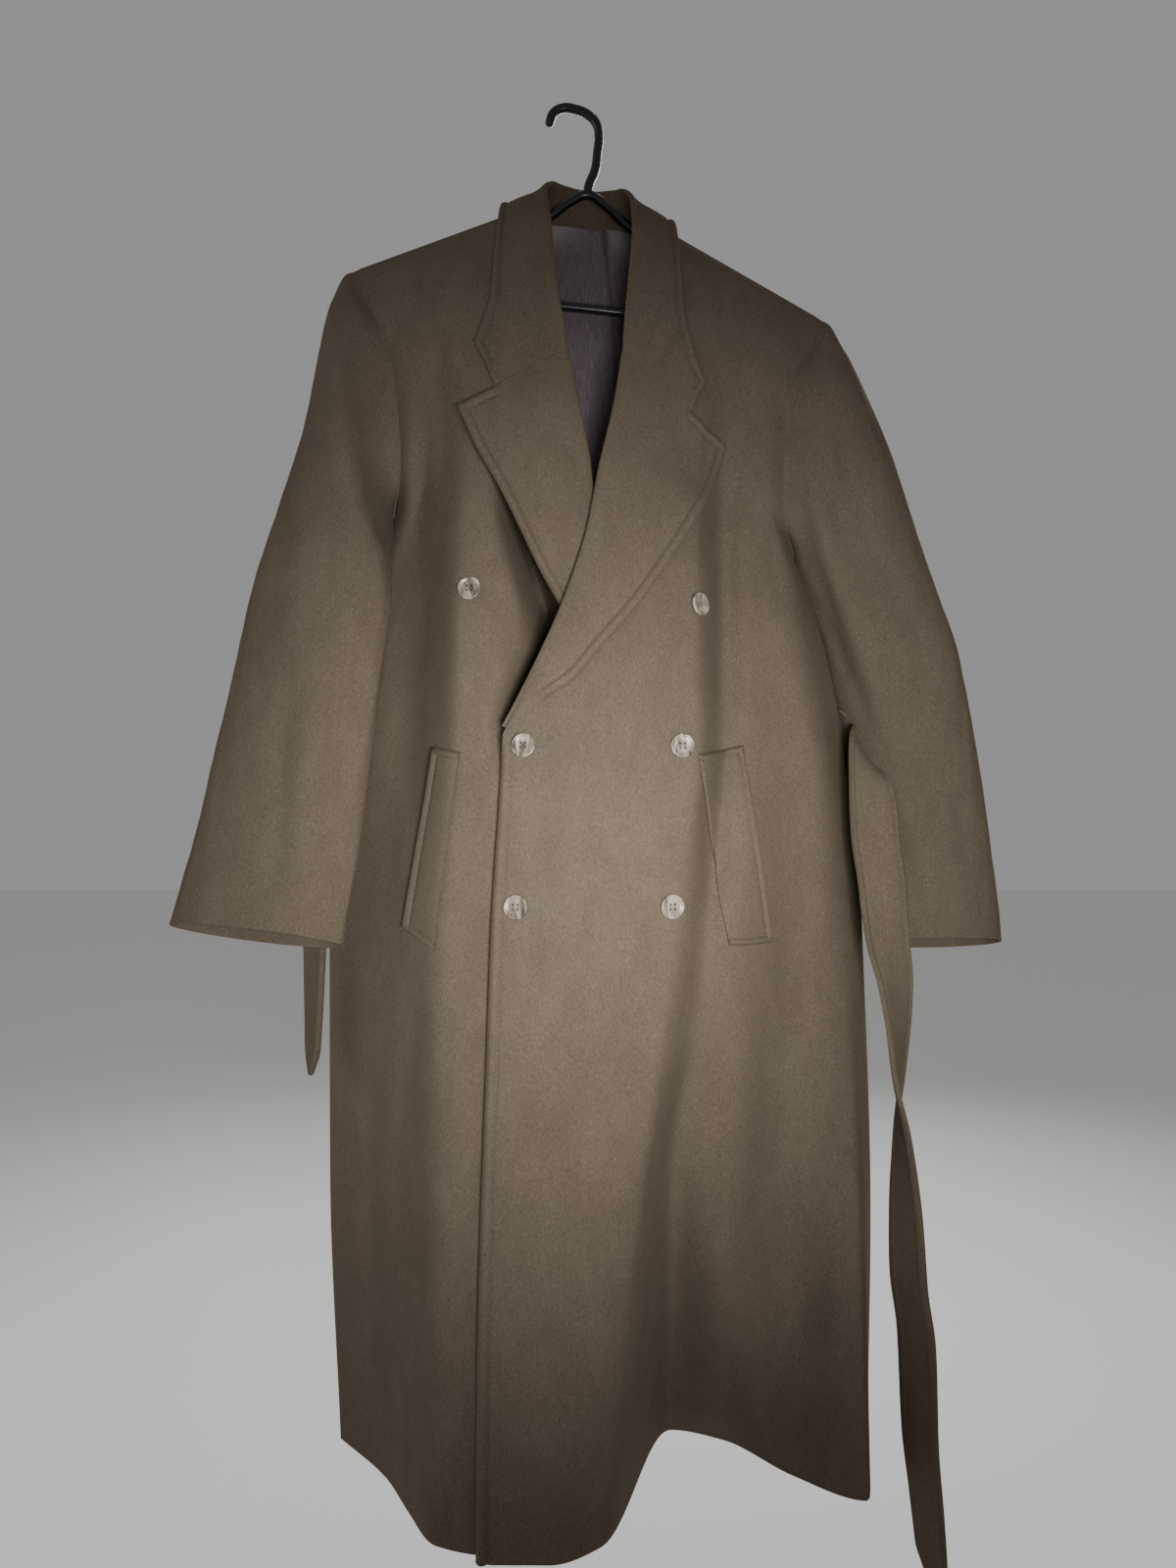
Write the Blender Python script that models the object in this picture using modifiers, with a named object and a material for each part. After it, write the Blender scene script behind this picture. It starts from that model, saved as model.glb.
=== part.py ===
"""Long double-breasted overcoat on a tubular clothes hanger, as hollow sewn cloth.

Metres, +Z up, the wearer's front towards -Y. The origin is where the hanger's hook bears.
The coat is worked out upright, with heights from the waist, and then leaned as it hangs.
"""

import functools
import math

import bpy
import numpy as np
from mathutils import Vector

# Cloth thicknesses and the gap left at every seam
WALL = 0.002
COLLAR_WALL = 0.0025
LAPEL_WALL = 0.003
WELT_WALL = 0.003
LINING_WALL = 0.0009
BELT_WALL = 0.004
LOOP_WALL = 0.0015
SEAM = 0.0003
ARMHOLE_SEAM = 0.0012

# Where the hook bears, and how far the hanger tips to one side
HOOK_X = -0.0133
HOOK_Z = 0.6995
LEAN = 0.105
LEAN_FROM = 0.02
LEAN_TO = 0.30

# Main heights and widths
HEM = -0.672
UNDERARM = 0.25
TIP_X = 0.237
NECK_X = 0.36 * TIP_X
RIDGE_AT_NECK = 0.582
RIDGE_SLOPE = 0.47
SEAM_FORWARD = 0.014
SEAM_DROP = 0.008
SHOULDER_ROUND = 0.10
BACK_DEPTH = 0.034
BACK_ROUND = 0.06
SIDE_ROUND = 0.05
LAP_STEP = 0.013

# Lines drawn down the fronts: how far across and how far forward each one is at each height.
HEIGHTS = (0.60, 0.50, 0.40, 0.30, 0.25, 0.17, 0.03, -0.15, -0.40, -0.672)
ACROSS = {
    "under side": (-0.237, -0.237, -0.197, -0.188, -0.203, -0.227, -0.251, -0.267, -0.266, -0.254),
    "under flank": (-0.210, -0.205, -0.175, -0.172, -0.178, -0.182, -0.190, -0.205, -0.205, -0.195),
    "under band": (-0.165, -0.165, -0.150, -0.146, -0.147, -0.148, -0.152, -0.165, -0.165, -0.165),
    "under ridge": (-0.115, -0.115, -0.115, -0.115, -0.116, -0.118, -0.120, -0.128, -0.132, -0.135),
    "edge": (-0.060, -0.060, -0.060, -0.062, -0.066, -0.070, -0.076, -0.086, -0.091, -0.095),
    "centre": (0.0, 0.0, 0.0, 0.0, 0.0, 0.0, 0.0, -0.020, -0.030, -0.034),
    "over ridge": (0.100, 0.105, 0.105, 0.102, 0.101, 0.100, 0.098, 0.075, 0.040, 0.012),
    "over band": (0.135, 0.140, 0.135, 0.130, 0.129, 0.128, 0.128, 0.115, 0.083, 0.086),
    "over flank": (0.165, 0.165, 0.150, 0.146, 0.148, 0.150, 0.155, 0.150, 0.122, 0.140),
    "over hollow": (0.190, 0.188, 0.166, 0.160, 0.167, 0.178, 0.192, 0.198, 0.198, 0.198),
    "over crest": (0.215, 0.212, 0.182, 0.180, 0.196, 0.216, 0.238, 0.256, 0.260, 0.262),
    "over side": (0.237, 0.237, 0.198, 0.196, 0.2155, 0.2405, 0.266, 0.2835, 0.2877, 0.282),
}
FORWARD = {
    "under side": (0.020, 0.025, 0.045, 0.045, 0.010, 0.010, 0.010, 0.012, 0.015, 0.020),
    "under flank": (0.030, 0.038, 0.058, 0.060, 0.058, 0.062, 0.066, 0.070, 0.080, 0.090),
    "under band": (0.040, 0.050, 0.070, 0.078, 0.084, 0.095, 0.108, 0.115, 0.130, 0.145),
    "under ridge": (0.045, 0.060, 0.085, 0.108, 0.118, 0.132, 0.145, 0.152, 0.175, 0.195),
    "edge": (0.045, 0.060, 0.090, 0.118, 0.127, 0.140, 0.157, 0.170, 0.192, 0.216),
    "centre": (0.045, 0.060, 0.090, 0.118, 0.128, 0.142, 0.160, 0.176, 0.197, 0.217),
    "over ridge": (0.045, 0.060, 0.085, 0.108, 0.118, 0.132, 0.150, 0.165, 0.180, 0.192),
    "over band": (0.045, 0.052, 0.072, 0.078, 0.086, 0.098, 0.118, 0.132, 0.100, 0.004),
    "over flank": (0.040, 0.048, 0.066, 0.070, 0.076, 0.083, 0.098, 0.118, 0.115, 0.025),
    "over hollow": (0.035, 0.042, 0.060, 0.064, 0.064, 0.066, 0.075, 0.080, 0.075, 0.085),
    "over crest": (0.030, 0.034, 0.054, 0.056, 0.050, 0.045, 0.048, 0.048, 0.085, 0.126),
    "over side": (0.020, 0.025, 0.045, 0.045, 0.010, 0.010, 0.010, 0.012, 0.030, 0.040),
}

# Heights of the sections through the panels: below the armhole, and beside it
LOWER_ROWS = (
    (HEM, -0.61, -0.54, -0.46, -0.38, -0.30, -0.22, -0.14)
    + (-0.07, 0.0, 0.07, 0.13, 0.18, 0.22)
)
ARMHOLE_ROWS = (UNDERARM, 0.265, 0.285, 0.31, 0.34, 0.37, 0.40, 0.43)
SHOULDER_STEPS = (1 / 3, 2 / 3)
OVER_COLUMNS = 26
UNDER_COLUMNS = 15
BACK_COLUMNS = (0.0, 0.13, 0.25, 0.36, 0.52, 0.68, 0.82, 0.92, 1.0)
LINING_HEIGHTS = (
    (-0.640, -0.55, -0.45, -0.35, -0.25, -0.15, -0.05, 0.05)
    + (0.15, 0.25, 0.33, 0.41, 0.49, 0.54, 0.577)
)

# Inner edges of the fronts, top to bottom: height and how far across
OVER_EDGE = (
    (0.580, 0.0853), (0.5475, 0.070), (0.50, 0.0545), (0.455, 0.0435), (0.421, 0.0363),
    (0.3693, 0.0286), (0.297, 0.0133), (0.2325, 0.0013), (0.2015, -0.0078), (0.160, -0.0222),
    (0.108, -0.0453), (0.059, -0.0704), (0.0446, -0.0780), (0.0, -0.0801), (-0.132, -0.0880),
    (-0.2615, -0.0916), (-0.3987, -0.0956), (-0.5347, -0.0975), (-0.672, -0.0971),
)
UNDER_EDGE = (
    (0.580, -0.0853), (0.5475, -0.070), (0.50, -0.050), (0.455, -0.0345), (0.4179, -0.0232),
    (0.3544, -0.0108), (0.3075, -0.0014), (0.2823, 0.0014), (0.235, 0.0106), (0.185, 0.0226),
    (0.13, 0.030), (0.0, 0.028), (-0.30, 0.010), (-0.672, -0.010),
)

# Roll lines and outer edges of the lapels, top to bottom: across and height
OVER_ROLL = (
    (0.0351, 0.421), (0.0274, 0.3693), (0.0121, 0.297), (0.0, 0.2325), (-0.0091, 0.2015),
    (-0.0236, 0.160), (-0.0467, 0.108), (-0.0690, 0.064),
)
OVER_OUTER = (
    (0.1347, 0.3403), (0.1203, 0.2947), (0.1016, 0.257), (0.072, 0.2055), (0.0439, 0.1635),
    (0.0118, 0.1246), (-0.0108, 0.0968), (-0.0563, 0.0660),
)
UNDER_ROLL = (
    (-0.0218, 0.4179), (-0.0094, 0.3544), (0.0, 0.3075), (0.0028, 0.2823), (0.012, 0.235),
    (0.024, 0.185),
)
UNDER_OUTER = (
    (-0.1242, 0.3465), (-0.1186, 0.334), (-0.1067, 0.3089), (-0.0824, 0.268), (-0.064, 0.2335),
    (-0.0452, 0.197), (-0.0238, 0.1612), (-0.006, 0.132),
)
LAPEL_ROWS = 14
LAPEL_COLUMNS = 7
LAPEL_RISE = 0.0062
PEAK_LIFT = 0.014
ROLL_LIP = ((0.0, 0.0068), (0.0028, 0.0046), (0.0033, -0.0008))

# Collar stations round the back of the neck: outer edge, fold and neck seam, x y z each
COLLAR_BACK = (
    ((0.0, 0.043, 0.553), (0.0, 0.036, 0.634), (0.0, 0.0272, 0.5912)),
    ((0.058, 0.039, 0.563), (0.034, 0.022, 0.633), (0.0455, 0.0185, 0.5885)),
    ((0.0915, -0.002, 0.592), (0.046, -0.008, 0.612), (0.0760, -0.0115, 0.5800)),
)
# Collar stations on the fronts: outer edge across and height, fold across and height, stand left
OVER_COLLAR = (
    (0.0944, 0.523, 0.0473, 0.565, 0.45),
    (0.0968, 0.4737, 0.0425, 0.500, 0.16),
    (0.1045, 0.435, 0.0385, 0.455, 0.05),
)
UNDER_COLLAR = (
    (-0.0944, 0.523, -0.0405, 0.568, 0.45),
    (-0.0968, 0.4737, -0.0352, 0.500, 0.16),
    (-0.1037, 0.4456, -0.0275, 0.452, 0.05),
)
OVER_COLLAR_POINT = (0.1167, 0.4026)
UNDER_COLLAR_POINT = (-0.1115, 0.4188)
NOTCH_SHARE = 0.36
STAND_RUN = (0.034, 0.006, -0.034)
FALL_COLUMNS = 7
COLLAR_COLUMNS = 26

# Sleeve sections, shoulder to cuff: outer x y z, inner x y z, half depth, share away from the armhole
UNDER_SLEEVE = (
    (-0.262, 0.000, 0.500, -0.205, -0.014, 0.243, 0.055, 0.5),
    (-0.268, 0.000, 0.474, -0.2055, -0.026, 0.236, 0.056, 0.9),
    (-0.277, -0.003, 0.424, -0.2045, -0.047, 0.222, 0.056, 1.0),
    (-0.2895, -0.012, 0.347, -0.194, -0.070, 0.203, 0.051, 1.0),
    (-0.314, -0.028, 0.251, -0.191, -0.086, 0.165, 0.045, 1.0),
    (-0.333, -0.042, 0.190, -0.195, -0.096, 0.120, 0.041, 1.0),
    (-0.352, -0.062, 0.096, -0.2025, -0.105, 0.055, 0.037, 1.0),
    (-0.367, -0.078, 0.020, -0.2085, -0.115, -0.005, 0.034, 1.0),
    (-0.3785, -0.092, -0.050, -0.2155, -0.125, -0.066, 0.030, 1.0),
    (-0.3885, -0.104, -0.098, -0.2215, -0.133, -0.110, 0.028, 1.0),
    (-0.397, -0.112, -0.134, -0.226, -0.140, -0.150, 0.026, 1.0),
)
OVER_SLEEVE = (
    (0.262, 0.000, 0.500, 0.2185, -0.010, 0.243, 0.055, 0.5),
    (0.269, 0.000, 0.476, 0.2215, -0.008, 0.238, 0.058, 0.9),
    (0.287, -0.004, 0.432, 0.2265, -0.004, 0.226, 0.060, 1.0),
    (0.311, -0.008, 0.3765, 0.2330, -0.001, 0.205, 0.057, 1.0),
    (0.342, -0.013, 0.280, 0.2470, 0.002, 0.165, 0.052, 1.0),
    (0.362, -0.017, 0.215, 0.2560, 0.002, 0.130, 0.050, 1.0),
    (0.378, -0.020, 0.155, 0.2645, -0.001, 0.096, 0.048, 1.0),
    (0.384, -0.0225, 0.115, 0.2835, -0.012, 0.066, 0.046, 1.0),
    (0.393, -0.026, 0.050, 0.2845, -0.026, 0.020, 0.044, 1.0),
    (0.404, -0.030, -0.030, 0.2845, -0.030, -0.045, 0.042, 1.0),
    (0.412, -0.033, -0.100, 0.2855, -0.031, -0.105, 0.040, 1.0),
    (0.418, -0.036, -0.160, 0.2865, -0.032, -0.162, 0.037, 1.0),
)
CUFF_LIFT = 0.010

# Pocket welts: the corners, across and height, from the upper outer one round
UNDER_WELT = ((-0.1463, 0.0354), (-0.1183, 0.0296), (-0.143, -0.153), (-0.177, -0.137))
OVER_WELT = ((0.1006, 0.0272), (0.149, 0.0373), (0.1752, -0.152), (0.1327, -0.152))

# Buttons: across and height on the fronts
BUTTON_DIAMETER = 0.0225
BUTTON_THICK = 0.0034
BUTTONS = {
    "button_1_right": (-0.1115, 0.177),
    "button_1_left": (0.1034, 0.174),
    "button_2_right": (-0.059, 0.035),
    "button_2_left": (0.086, 0.035),
    "button_3_right": (-0.065, -0.111),
    "button_3_left": (0.076, -0.111),
}

# Belt: hanging stretches as centre x y z and turn of the width from +X in degrees, from the tip up
BELT_WIDTH = 0.048
BELT_HEIGHT = 0.040
BELT_TIP = 0.006
OVER_BELT = (
    (0.333, -0.097, -0.772, 108.0),
    (0.331, -0.097, -0.740, 112.0),
    (0.3265, -0.097, -0.690, 116.0),
    (0.3205, -0.097, -0.629, 120.0),
    (0.3168, -0.097, -0.5326, 123.0),
    (0.3093, -0.097, -0.475, 122.0),
    (0.3070, -0.097, -0.4177, 116.0),
    (0.3035, -0.097, -0.3346, 92.0),
    (0.3009, -0.097, -0.283, 66.0),
    (0.3000, -0.097, -0.233, 48.0),
    (0.2975, -0.097, -0.195, 34.0),
    (0.2897, -0.096, -0.150, 16.0),
    (0.2840, -0.094, -0.093, 4.0),
    (0.2785, -0.090, -0.045, 0.0),
)
UNDER_BELT = (
    (-0.2765, -0.050, -0.290, -64.0),
    (-0.2745, -0.050, -0.262, -62.0),
    (-0.2735, -0.050, -0.225, -58.0),
    (-0.2725, -0.049, -0.150, -50.0),
    (-0.2710, -0.047, -0.090, -40.0),
    (-0.2680, -0.044, -0.040, -30.0),
)
# Where the belt turns from hanging to running round: centre x y z and direction of the width
OVER_TURN = (
    (0.2775, -0.080, 0.004, 0.93, 0.0, -0.37),
    (0.2755, -0.060, 0.030, 0.62, 0.12, -0.77),
    (0.2740, -0.034, 0.0385, 0.15, 0.10, -0.98),
)
UNDER_TURN = (
    (-0.2690, -0.040, 0.008, -0.70, 0.40, -0.60),
    (-0.2610, -0.026, 0.034, -0.20, 0.20, -0.96),
)
BELT_BACK = (1.0, 0.985, 0.955, 0.90, 0.82, 0.70, 0.45, 0.2)
# Belt loops: height from the belt's middle, and how far the loop stands out there as a share
LOOP_RUN = (
    (0.040, 0.0), (0.032, 0.6), (0.0275, 1.0), (0.0, 1.0), (-0.0275, 1.0), (-0.032, 0.6), (-0.040, 0.0),
)

# Hanger: tube, the arm's run from the neck to the end, and the hook
TUBE = 0.00475
HANGER_ARM = ((0.0, 0.6150), (0.016, 0.6075), (0.040, 0.5880), (0.085, 0.5610), (0.150, 0.5354))
HANGER_END = ((0.188, 0.5207), (0.1985, 0.5103), (0.197, 0.4990), (0.186, 0.4960))
HANGER_HOOK = (
    (-0.0400, 0.6865), (-0.0362, 0.6965), (-0.0262, 0.7028), (-0.0133, 0.70285), (-0.0005, 0.6990),
    (0.0085, 0.6905), (0.0113, 0.6780), (0.0098, 0.6600), (0.0072, 0.6414), (0.0010, 0.6254),
    (-0.0010, 0.6150),
)


def smooth(places, values, place):
    """A curve through the values that never swings past them."""
    places = np.asarray(places, float)
    values = np.asarray(values, float)
    if places[0] > places[-1]:
        places = places[::-1]
        values = values[::-1]
    place = min(max(place, places[0]), places[-1])
    run = np.diff(places)
    slope = np.diff(values) / run
    tangent = np.zeros(len(places))
    tangent[0] = slope[0]
    tangent[-1] = slope[-1]
    for i in range(1, len(places) - 1):
        if slope[i - 1] * slope[i] > 0:
            before = 2 * run[i] + run[i - 1]
            after = run[i] + 2 * run[i - 1]
            tangent[i] = (before + after) / (before / slope[i - 1] + after / slope[i])
    i = min(int(np.searchsorted(places, place, "right")) - 1, len(run) - 1)
    t = (place - places[i]) / run[i]
    ease = t * t * (3 - 2 * t)
    lead = t * (1 - t) ** 2 * run[i]
    trail = t * t * (t - 1) * run[i]
    between = values[i] * (1 - ease) + values[i + 1] * ease
    return float(between + tangent[i] * lead + tangent[i + 1] * trail)


def ease(low, high, value):
    t = min(max((value - low) / (high - low), 0.0), 1.0)
    return t * t * (3 - 2 * t)


def rise(t):
    """A quarter round, steep at first."""
    t = min(max(t, 0.0), 1.0)
    return math.sqrt(1 - (1 - t) ** 2)


def mix(a, b, t):
    return tuple(p + (q - p) * t for p, q in zip(a, b))


def along(points, share):
    """A point at this share of a line's length, on a smooth curve."""
    lengths = [0.0]
    for a, b in zip(points, points[1:]):
        lengths.append(lengths[-1] + math.dist(a, b))
    place = share * lengths[-1]
    return tuple(smooth(lengths, [p[i] for p in points], place) for i in range(len(points[0])))


def ridge(x):
    """Height of the top of the shoulder."""
    return RIDGE_AT_NECK - RIDGE_SLOPE * (abs(x) - NECK_X)


@functools.lru_cache(maxsize=None)
def section(z):
    across = tuple(smooth(HEIGHTS, line, z) for line in ACROSS.values())
    forward = tuple(smooth(HEIGHTS, line, z) for line in FORWARD.values())
    return across, forward


def side(z, sign):
    """How far across the armhole or the side seam is."""
    return section(z)[0][-1 if sign > 0 else 0]


def over_depth(x, z):
    """How far forward of the hanger the over-front is."""
    chest = smooth(*section(z), x)
    below = ridge(x) - SEAM_DROP - z
    return SEAM_FORWARD + (chest - SEAM_FORWARD) * rise(below / SHOULDER_ROUND)


def under_depth(x, z):
    """The under-front: it steps back behind the lap, most of all beside the lapels' crossing."""
    lap = ease(-0.155, -0.100, x) * (1 - ease(0.28, 0.37, z))
    hollow = 0.016 * math.exp(-(((x + 0.056) / 0.030) ** 2) - ((z - 0.130) / 0.060) ** 2)
    return over_depth(x, z) - LAP_STEP * lap - hollow


def back_depth(x, z):
    """How far behind the hanger the back is, drawn forward to the side seams."""
    sign = 1 if x > 0 else -1
    depth = BACK_DEPTH * rise((ridge(x) - z) / BACK_ROUND)
    edge = abs(side(z, sign))
    turn = 1 - rise((edge - abs(x)) / SIDE_ROUND)
    low = 1 - ease(UNDERARM, 0.31, z)
    seam = -section(z)[1][-1 if sign > 0 else 0] + 0.008
    return depth + (seam - depth) * turn * low


def lifted(depth, x, z, height):
    """A point this far out of a front, square to it."""
    step = 0.002
    across = (depth(x + step, z) - depth(x - step, z)) / (2 * step)
    up = (depth(x, z + step) - depth(x, z - step)) / (2 * step)
    normal = Vector((-across, -1.0, -up)).normalized()
    return Vector((x, -depth(x, z), z)) + normal * height, normal


def placed(point):
    """The point as the coat hangs, leaned and measured from the hook."""
    x, y, z = point
    return (x - HOOK_X, y, z - LEAN * ease(LEAN_FROM, LEAN_TO, z) * x - HOOK_Z)


# Start from an empty scene, with a material for each kind of stuff
for old in list(bpy.data.objects):
    bpy.data.objects.remove(old, do_unlink=True)
coat = bpy.data.collections.new("overcoat")
helpers = bpy.data.collections.new("helpers")
bpy.context.scene.collection.children.link(coat)
bpy.context.scene.collection.children.link(helpers)


def material(name, colour, rough):
    made = bpy.data.materials.new(name)
    made.use_nodes = True
    shader = made.node_tree.nodes["Principled BSDF"]
    shader.inputs["Base Color"].default_value = (*colour, 1.0)
    shader.inputs["Roughness"].default_value = rough
    return made


STUFFS = {
    "wool": ((0.105, 0.088, 0.058), 0.9),
    "satin": ((0.055, 0.042, 0.048), 0.45),
    "horn": ((0.035, 0.028, 0.020), 0.25),
    "plastic": ((0.006, 0.005, 0.006), 0.25),
}


def shown(name, data, stuff):
    made = bpy.data.objects.new(name, data)
    colour, rough = STUFFS[stuff]
    data.materials.append(material(f"{stuff}_{name}", colour, rough))
    coat.objects.link(made)
    return made


def cloth(name, rows, wall, stuff="wool", ring=False, turned=False):
    """A cloth piece through rows of points, its outside on the points and its wall inwards."""
    count = len(rows[0])
    points = [placed(p) for row in rows for p in row]
    faces = []
    for i in range(len(rows) - 1):
        for j in range(count if ring else count - 1):
            k = (j + 1) % count
            face = (i * count + j, i * count + k, (i + 1) * count + k, (i + 1) * count + j)
            faces.append(face[::-1] if turned else face)
    data = bpy.data.meshes.new(name)
    data.from_pydata(points, [], faces)
    made = shown(name, data, stuff)
    shell = made.modifiers.new("wall", "SOLIDIFY")
    shell.thickness = wall
    shell.offset = -1.0
    shell.use_quality_normals = True
    return made


# Fronts: sections from the hem up, each from the side to the inner edge
def front_rows(depth, edge, sign, columns):
    heights = [e[0] for e in edge]
    inner = [e[1] for e in edge]
    tip = ridge(TIP_X) - SEAM_DROP
    neck = ridge(NECK_X) - SEAM_DROP
    ends = [(z, z) for z in LOWER_ROWS + ARMHOLE_ROWS]
    top = ARMHOLE_ROWS[-1]
    ends += [(top + (tip - top) * s, top + (neck - top) * s) for s in SHOULDER_STEPS]
    rows = []
    for outer_z, inner_z in ends:
        outer_x = side(outer_z, sign)
        inner_x = smooth(heights, inner, inner_z)
        row = []
        for i in range(columns + 1):
            x, z = mix((outer_x, outer_z), (inner_x, inner_z), i / columns)
            row.append((x, -depth(x, z), z))
        x, y, z = row[0]
        row.insert(0, (x, y + 0.004, z))
        rows.append(row)
    last = []
    for i in range(columns + 1):
        x, z = mix((sign * TIP_X, tip), (sign * NECK_X, neck), i / columns)
        last.append((x, -SEAM_FORWARD, z))
    last.insert(0, last[0])
    lip = [(x, y - 0.0060, z - 0.0034) for x, y, z in last]
    last[0] = (last[1][0], last[1][1], last[1][2] - 0.0025)
    lip[0] = (lip[1][0], lip[1][1] + 0.0020, lip[1][2] - 0.0030)
    return rows + [lip, last]


over_rows = front_rows(over_depth, OVER_EDGE, 1, OVER_COLUMNS)
under_rows = front_rows(under_depth, UNDER_EDGE, -1, UNDER_COLUMNS)
cloth("front_left", over_rows, WALL, turned=True)
cloth("front_right", under_rows, WALL)

# Back: the same heights from side to side, over the top of the shoulder to its seam
neckline = ridge(NECK_X) - SEAM_DROP


def neck_edge(x):
    return neckline + 0.016 * (1 - (x / NECK_X) ** 2)


back_shares = [-q for q in BACK_COLUMNS[:0:-1]] + list(BACK_COLUMNS)
back_rows = []
back_top = ARMHOLE_ROWS[-1]
tip_rise = ridge(TIP_X) - SEAM_DROP - back_top
back_ends = [(z, z) for z in LOWER_ROWS + ARMHOLE_ROWS]
back_ends += [(back_top + tip_rise * s, back_top + (0.575 - back_top) * s) for s in SHOULDER_STEPS]
for edge_z, centre_z in back_ends:
    row = []
    for share in back_shares:
        z = centre_z + (edge_z - centre_z) * abs(share)
        sign = 1 if share > 0 else -1
        x = abs(share) * side(edge_z, sign)
        row.append((x, back_depth(x, z), z))
    for end, sign in ((0, -1), (-1, 1)):
        x, y, z = row[end]
        row.insert(0 if end == 0 else len(row), (x, y - 0.008 + 0.004 + SEAM, z))
    back_rows.append(row)
for name in ("ridge", "seam"):
    row = []
    for share in back_shares:
        x = share * TIP_X
        inside = abs(share) < BACK_COLUMNS[3] - 0.001
        if inside:
            z = neck_edge(x) - (0.006 if name == "ridge" else 0.0)
            row.append((x, back_depth(x, z), z))
        elif name == "ridge":
            row.append((x, 0.0, ridge(x)))
        else:
            row.append((x, -SEAM_FORWARD + 2 * SEAM, ridge(x) - SEAM_DROP + SEAM))
    for end in (0, -1):
        x, y, z = row[end]
        row.insert(0 if end == 0 else len(row), (x, y, z - 0.0025))
    back_rows.append(row)
cloth("back", back_rows, WALL, turned=True)


# Sleeves: from the armhole's own points to the open cuff
def sleeve_rings(front, back, end, sign, table):
    first = len(LOWER_ROWS)
    down = [front[i][1] for i in range(len(front) - 1, first - 1, -1) if i != len(front) - 2]
    up = [back[i][end] for i in range(first + 1, len(back) - 1)]
    loop = [Vector(p) + Vector((sign * ARMHOLE_SEAM, 0, 0)) for p in down + up]
    turns = [math.pi * i / (len(down) - 1) for i in range(len(down))]
    turns += [math.pi * (1 + (i + 1) / (len(up) + 1)) for i in range(len(up))]
    rings = [loop]
    for row in table:
        outer = Vector(row[0:3])
        inner = Vector(row[3:6])
        deep = row[6]
        share = row[7]
        tilt = CUFF_LIFT * ease(0.05, -0.14, outer.z)
        ring = []
        for start, turn in zip(loop, turns):
            point = (outer + inner) / 2 + (outer - inner) / 2 * math.cos(turn)
            point += Vector((0, -deep, tilt)) * math.sin(turn)
            ring.append(start.lerp(point, share))
        rings.append(ring)
    return rings


under_rings = sleeve_rings(under_rows, back_rows, 1, -1, UNDER_SLEEVE)
over_rings = sleeve_rings(over_rows, back_rows, -2, 1, OVER_SLEEVE)
cloth("sleeve_right", under_rings, WALL, ring=True, turned=True)
cloth("sleeve_left", over_rings, WALL, ring=True)


# Lapels: the facings turned back along the roll line, with a rounded lip at the roll
def turned_point(depth, roll, outer, share, lift):
    """A point across a lapel or a collar end, from its outer edge to its roll."""
    x, z = mix(outer, roll, share)
    straight = (depth(*outer) + lift) * (1 - share) + depth(*roll) * share
    return (x, -max(depth(x, z), straight) - LAPEL_RISE, z)


def lip(depth, roll, outer, steps):
    """The points that carry a lapel round its roll."""
    run = Vector(roll) - Vector(outer)
    run.normalize()
    points = []
    for move, height in steps:
        points.append((roll[0] + run.x * move, -depth(*roll) - height, roll[1] + run.y * move))
    return points


def lapel_rows(depth, roll_line, outer_line):
    rows = []
    for i in range(LAPEL_ROWS + 1):
        share = i / LAPEL_ROWS
        roll = along(roll_line, share)
        outer = along(outer_line, share)
        lift = PEAK_LIFT * (1 - ease(0.0, 0.35, share))
        row = [turned_point(depth, roll, outer, j / LAPEL_COLUMNS, lift) for j in range(LAPEL_COLUMNS)]
        rows.append(row + lip(depth, roll, outer, ROLL_LIP))
    return rows


cloth("lapel_left", lapel_rows(over_depth, OVER_ROLL, OVER_OUTER), LAPEL_WALL)
cloth("lapel_right", lapel_rows(under_depth, UNDER_ROLL, UNDER_OUTER), LAPEL_WALL, turned=True)


# Collar: outer edge, fold and stand at each station, from one lapel round the neck to the other
def folded(edge, fold, seam):
    """One section of the collar, from its outer edge over the fold to the neck seam."""
    edge = Vector(edge)
    fold = Vector(fold)
    seam = Vector(seam)
    out = edge - fold
    out.z = 0
    out.normalize()
    outside = fold + out * 0.0038
    inside = fold - out * 0.0034
    row = [edge.lerp(outside, j / (FALL_COLUMNS - 1)) for j in range(FALL_COLUMNS)]
    row += [fold + Vector((0, 0, 0.003)), inside]
    row += [inside.lerp(seam, t) for t in (0.5, 1.0)]
    return row


def front_station(depth, row, sign):
    edge_x, edge_z, fold_x, fold_z, left = row
    edge = (edge_x, -depth(edge_x, edge_z) - LAPEL_RISE, edge_z)
    fold = (fold_x, -depth(fold_x, fold_z) - LAPEL_RISE, fold_z)
    run = Vector(STAND_RUN) * left
    seam = (fold_x + sign * run.x, fold[1] + 0.004 + run.y, fold_z + run.z)
    return folded(edge, fold, seam)


def end_station(depth, point, roll, peak):
    """The collar's end: from its point to the notch, then along the seam with the lapel."""
    notch = mix(peak, roll, NOTCH_SHARE)
    row = []
    for j in range(FALL_COLUMNS):
        t = j / (FALL_COLUMNS - 1)
        bend = 1 / 3
        if t < bend:
            x, z = mix(point, notch, t / bend)
            y = turned_point(depth, roll, notch, 0.0, 0.0)[1] * t / bend
            y += (-depth(*point) - LAPEL_RISE) * (1 - t / bend)
        else:
            share = NOTCH_SHARE + (1 - NOTCH_SHARE) * (t - bend) / (1 - bend)
            x, y, z = turned_point(depth, roll, peak, share, 0.0)
        row.append(Vector((x, y, z + 0.0014)))
    steps = ((0.0008, 0.0066), (0.0028, 0.0046), (0.0032, 0.0020), (0.0033, -0.0008))
    row += [Vector(p) + Vector((0, 0, 0.0014)) for p in lip(depth, roll, peak, steps)]
    return row


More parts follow.
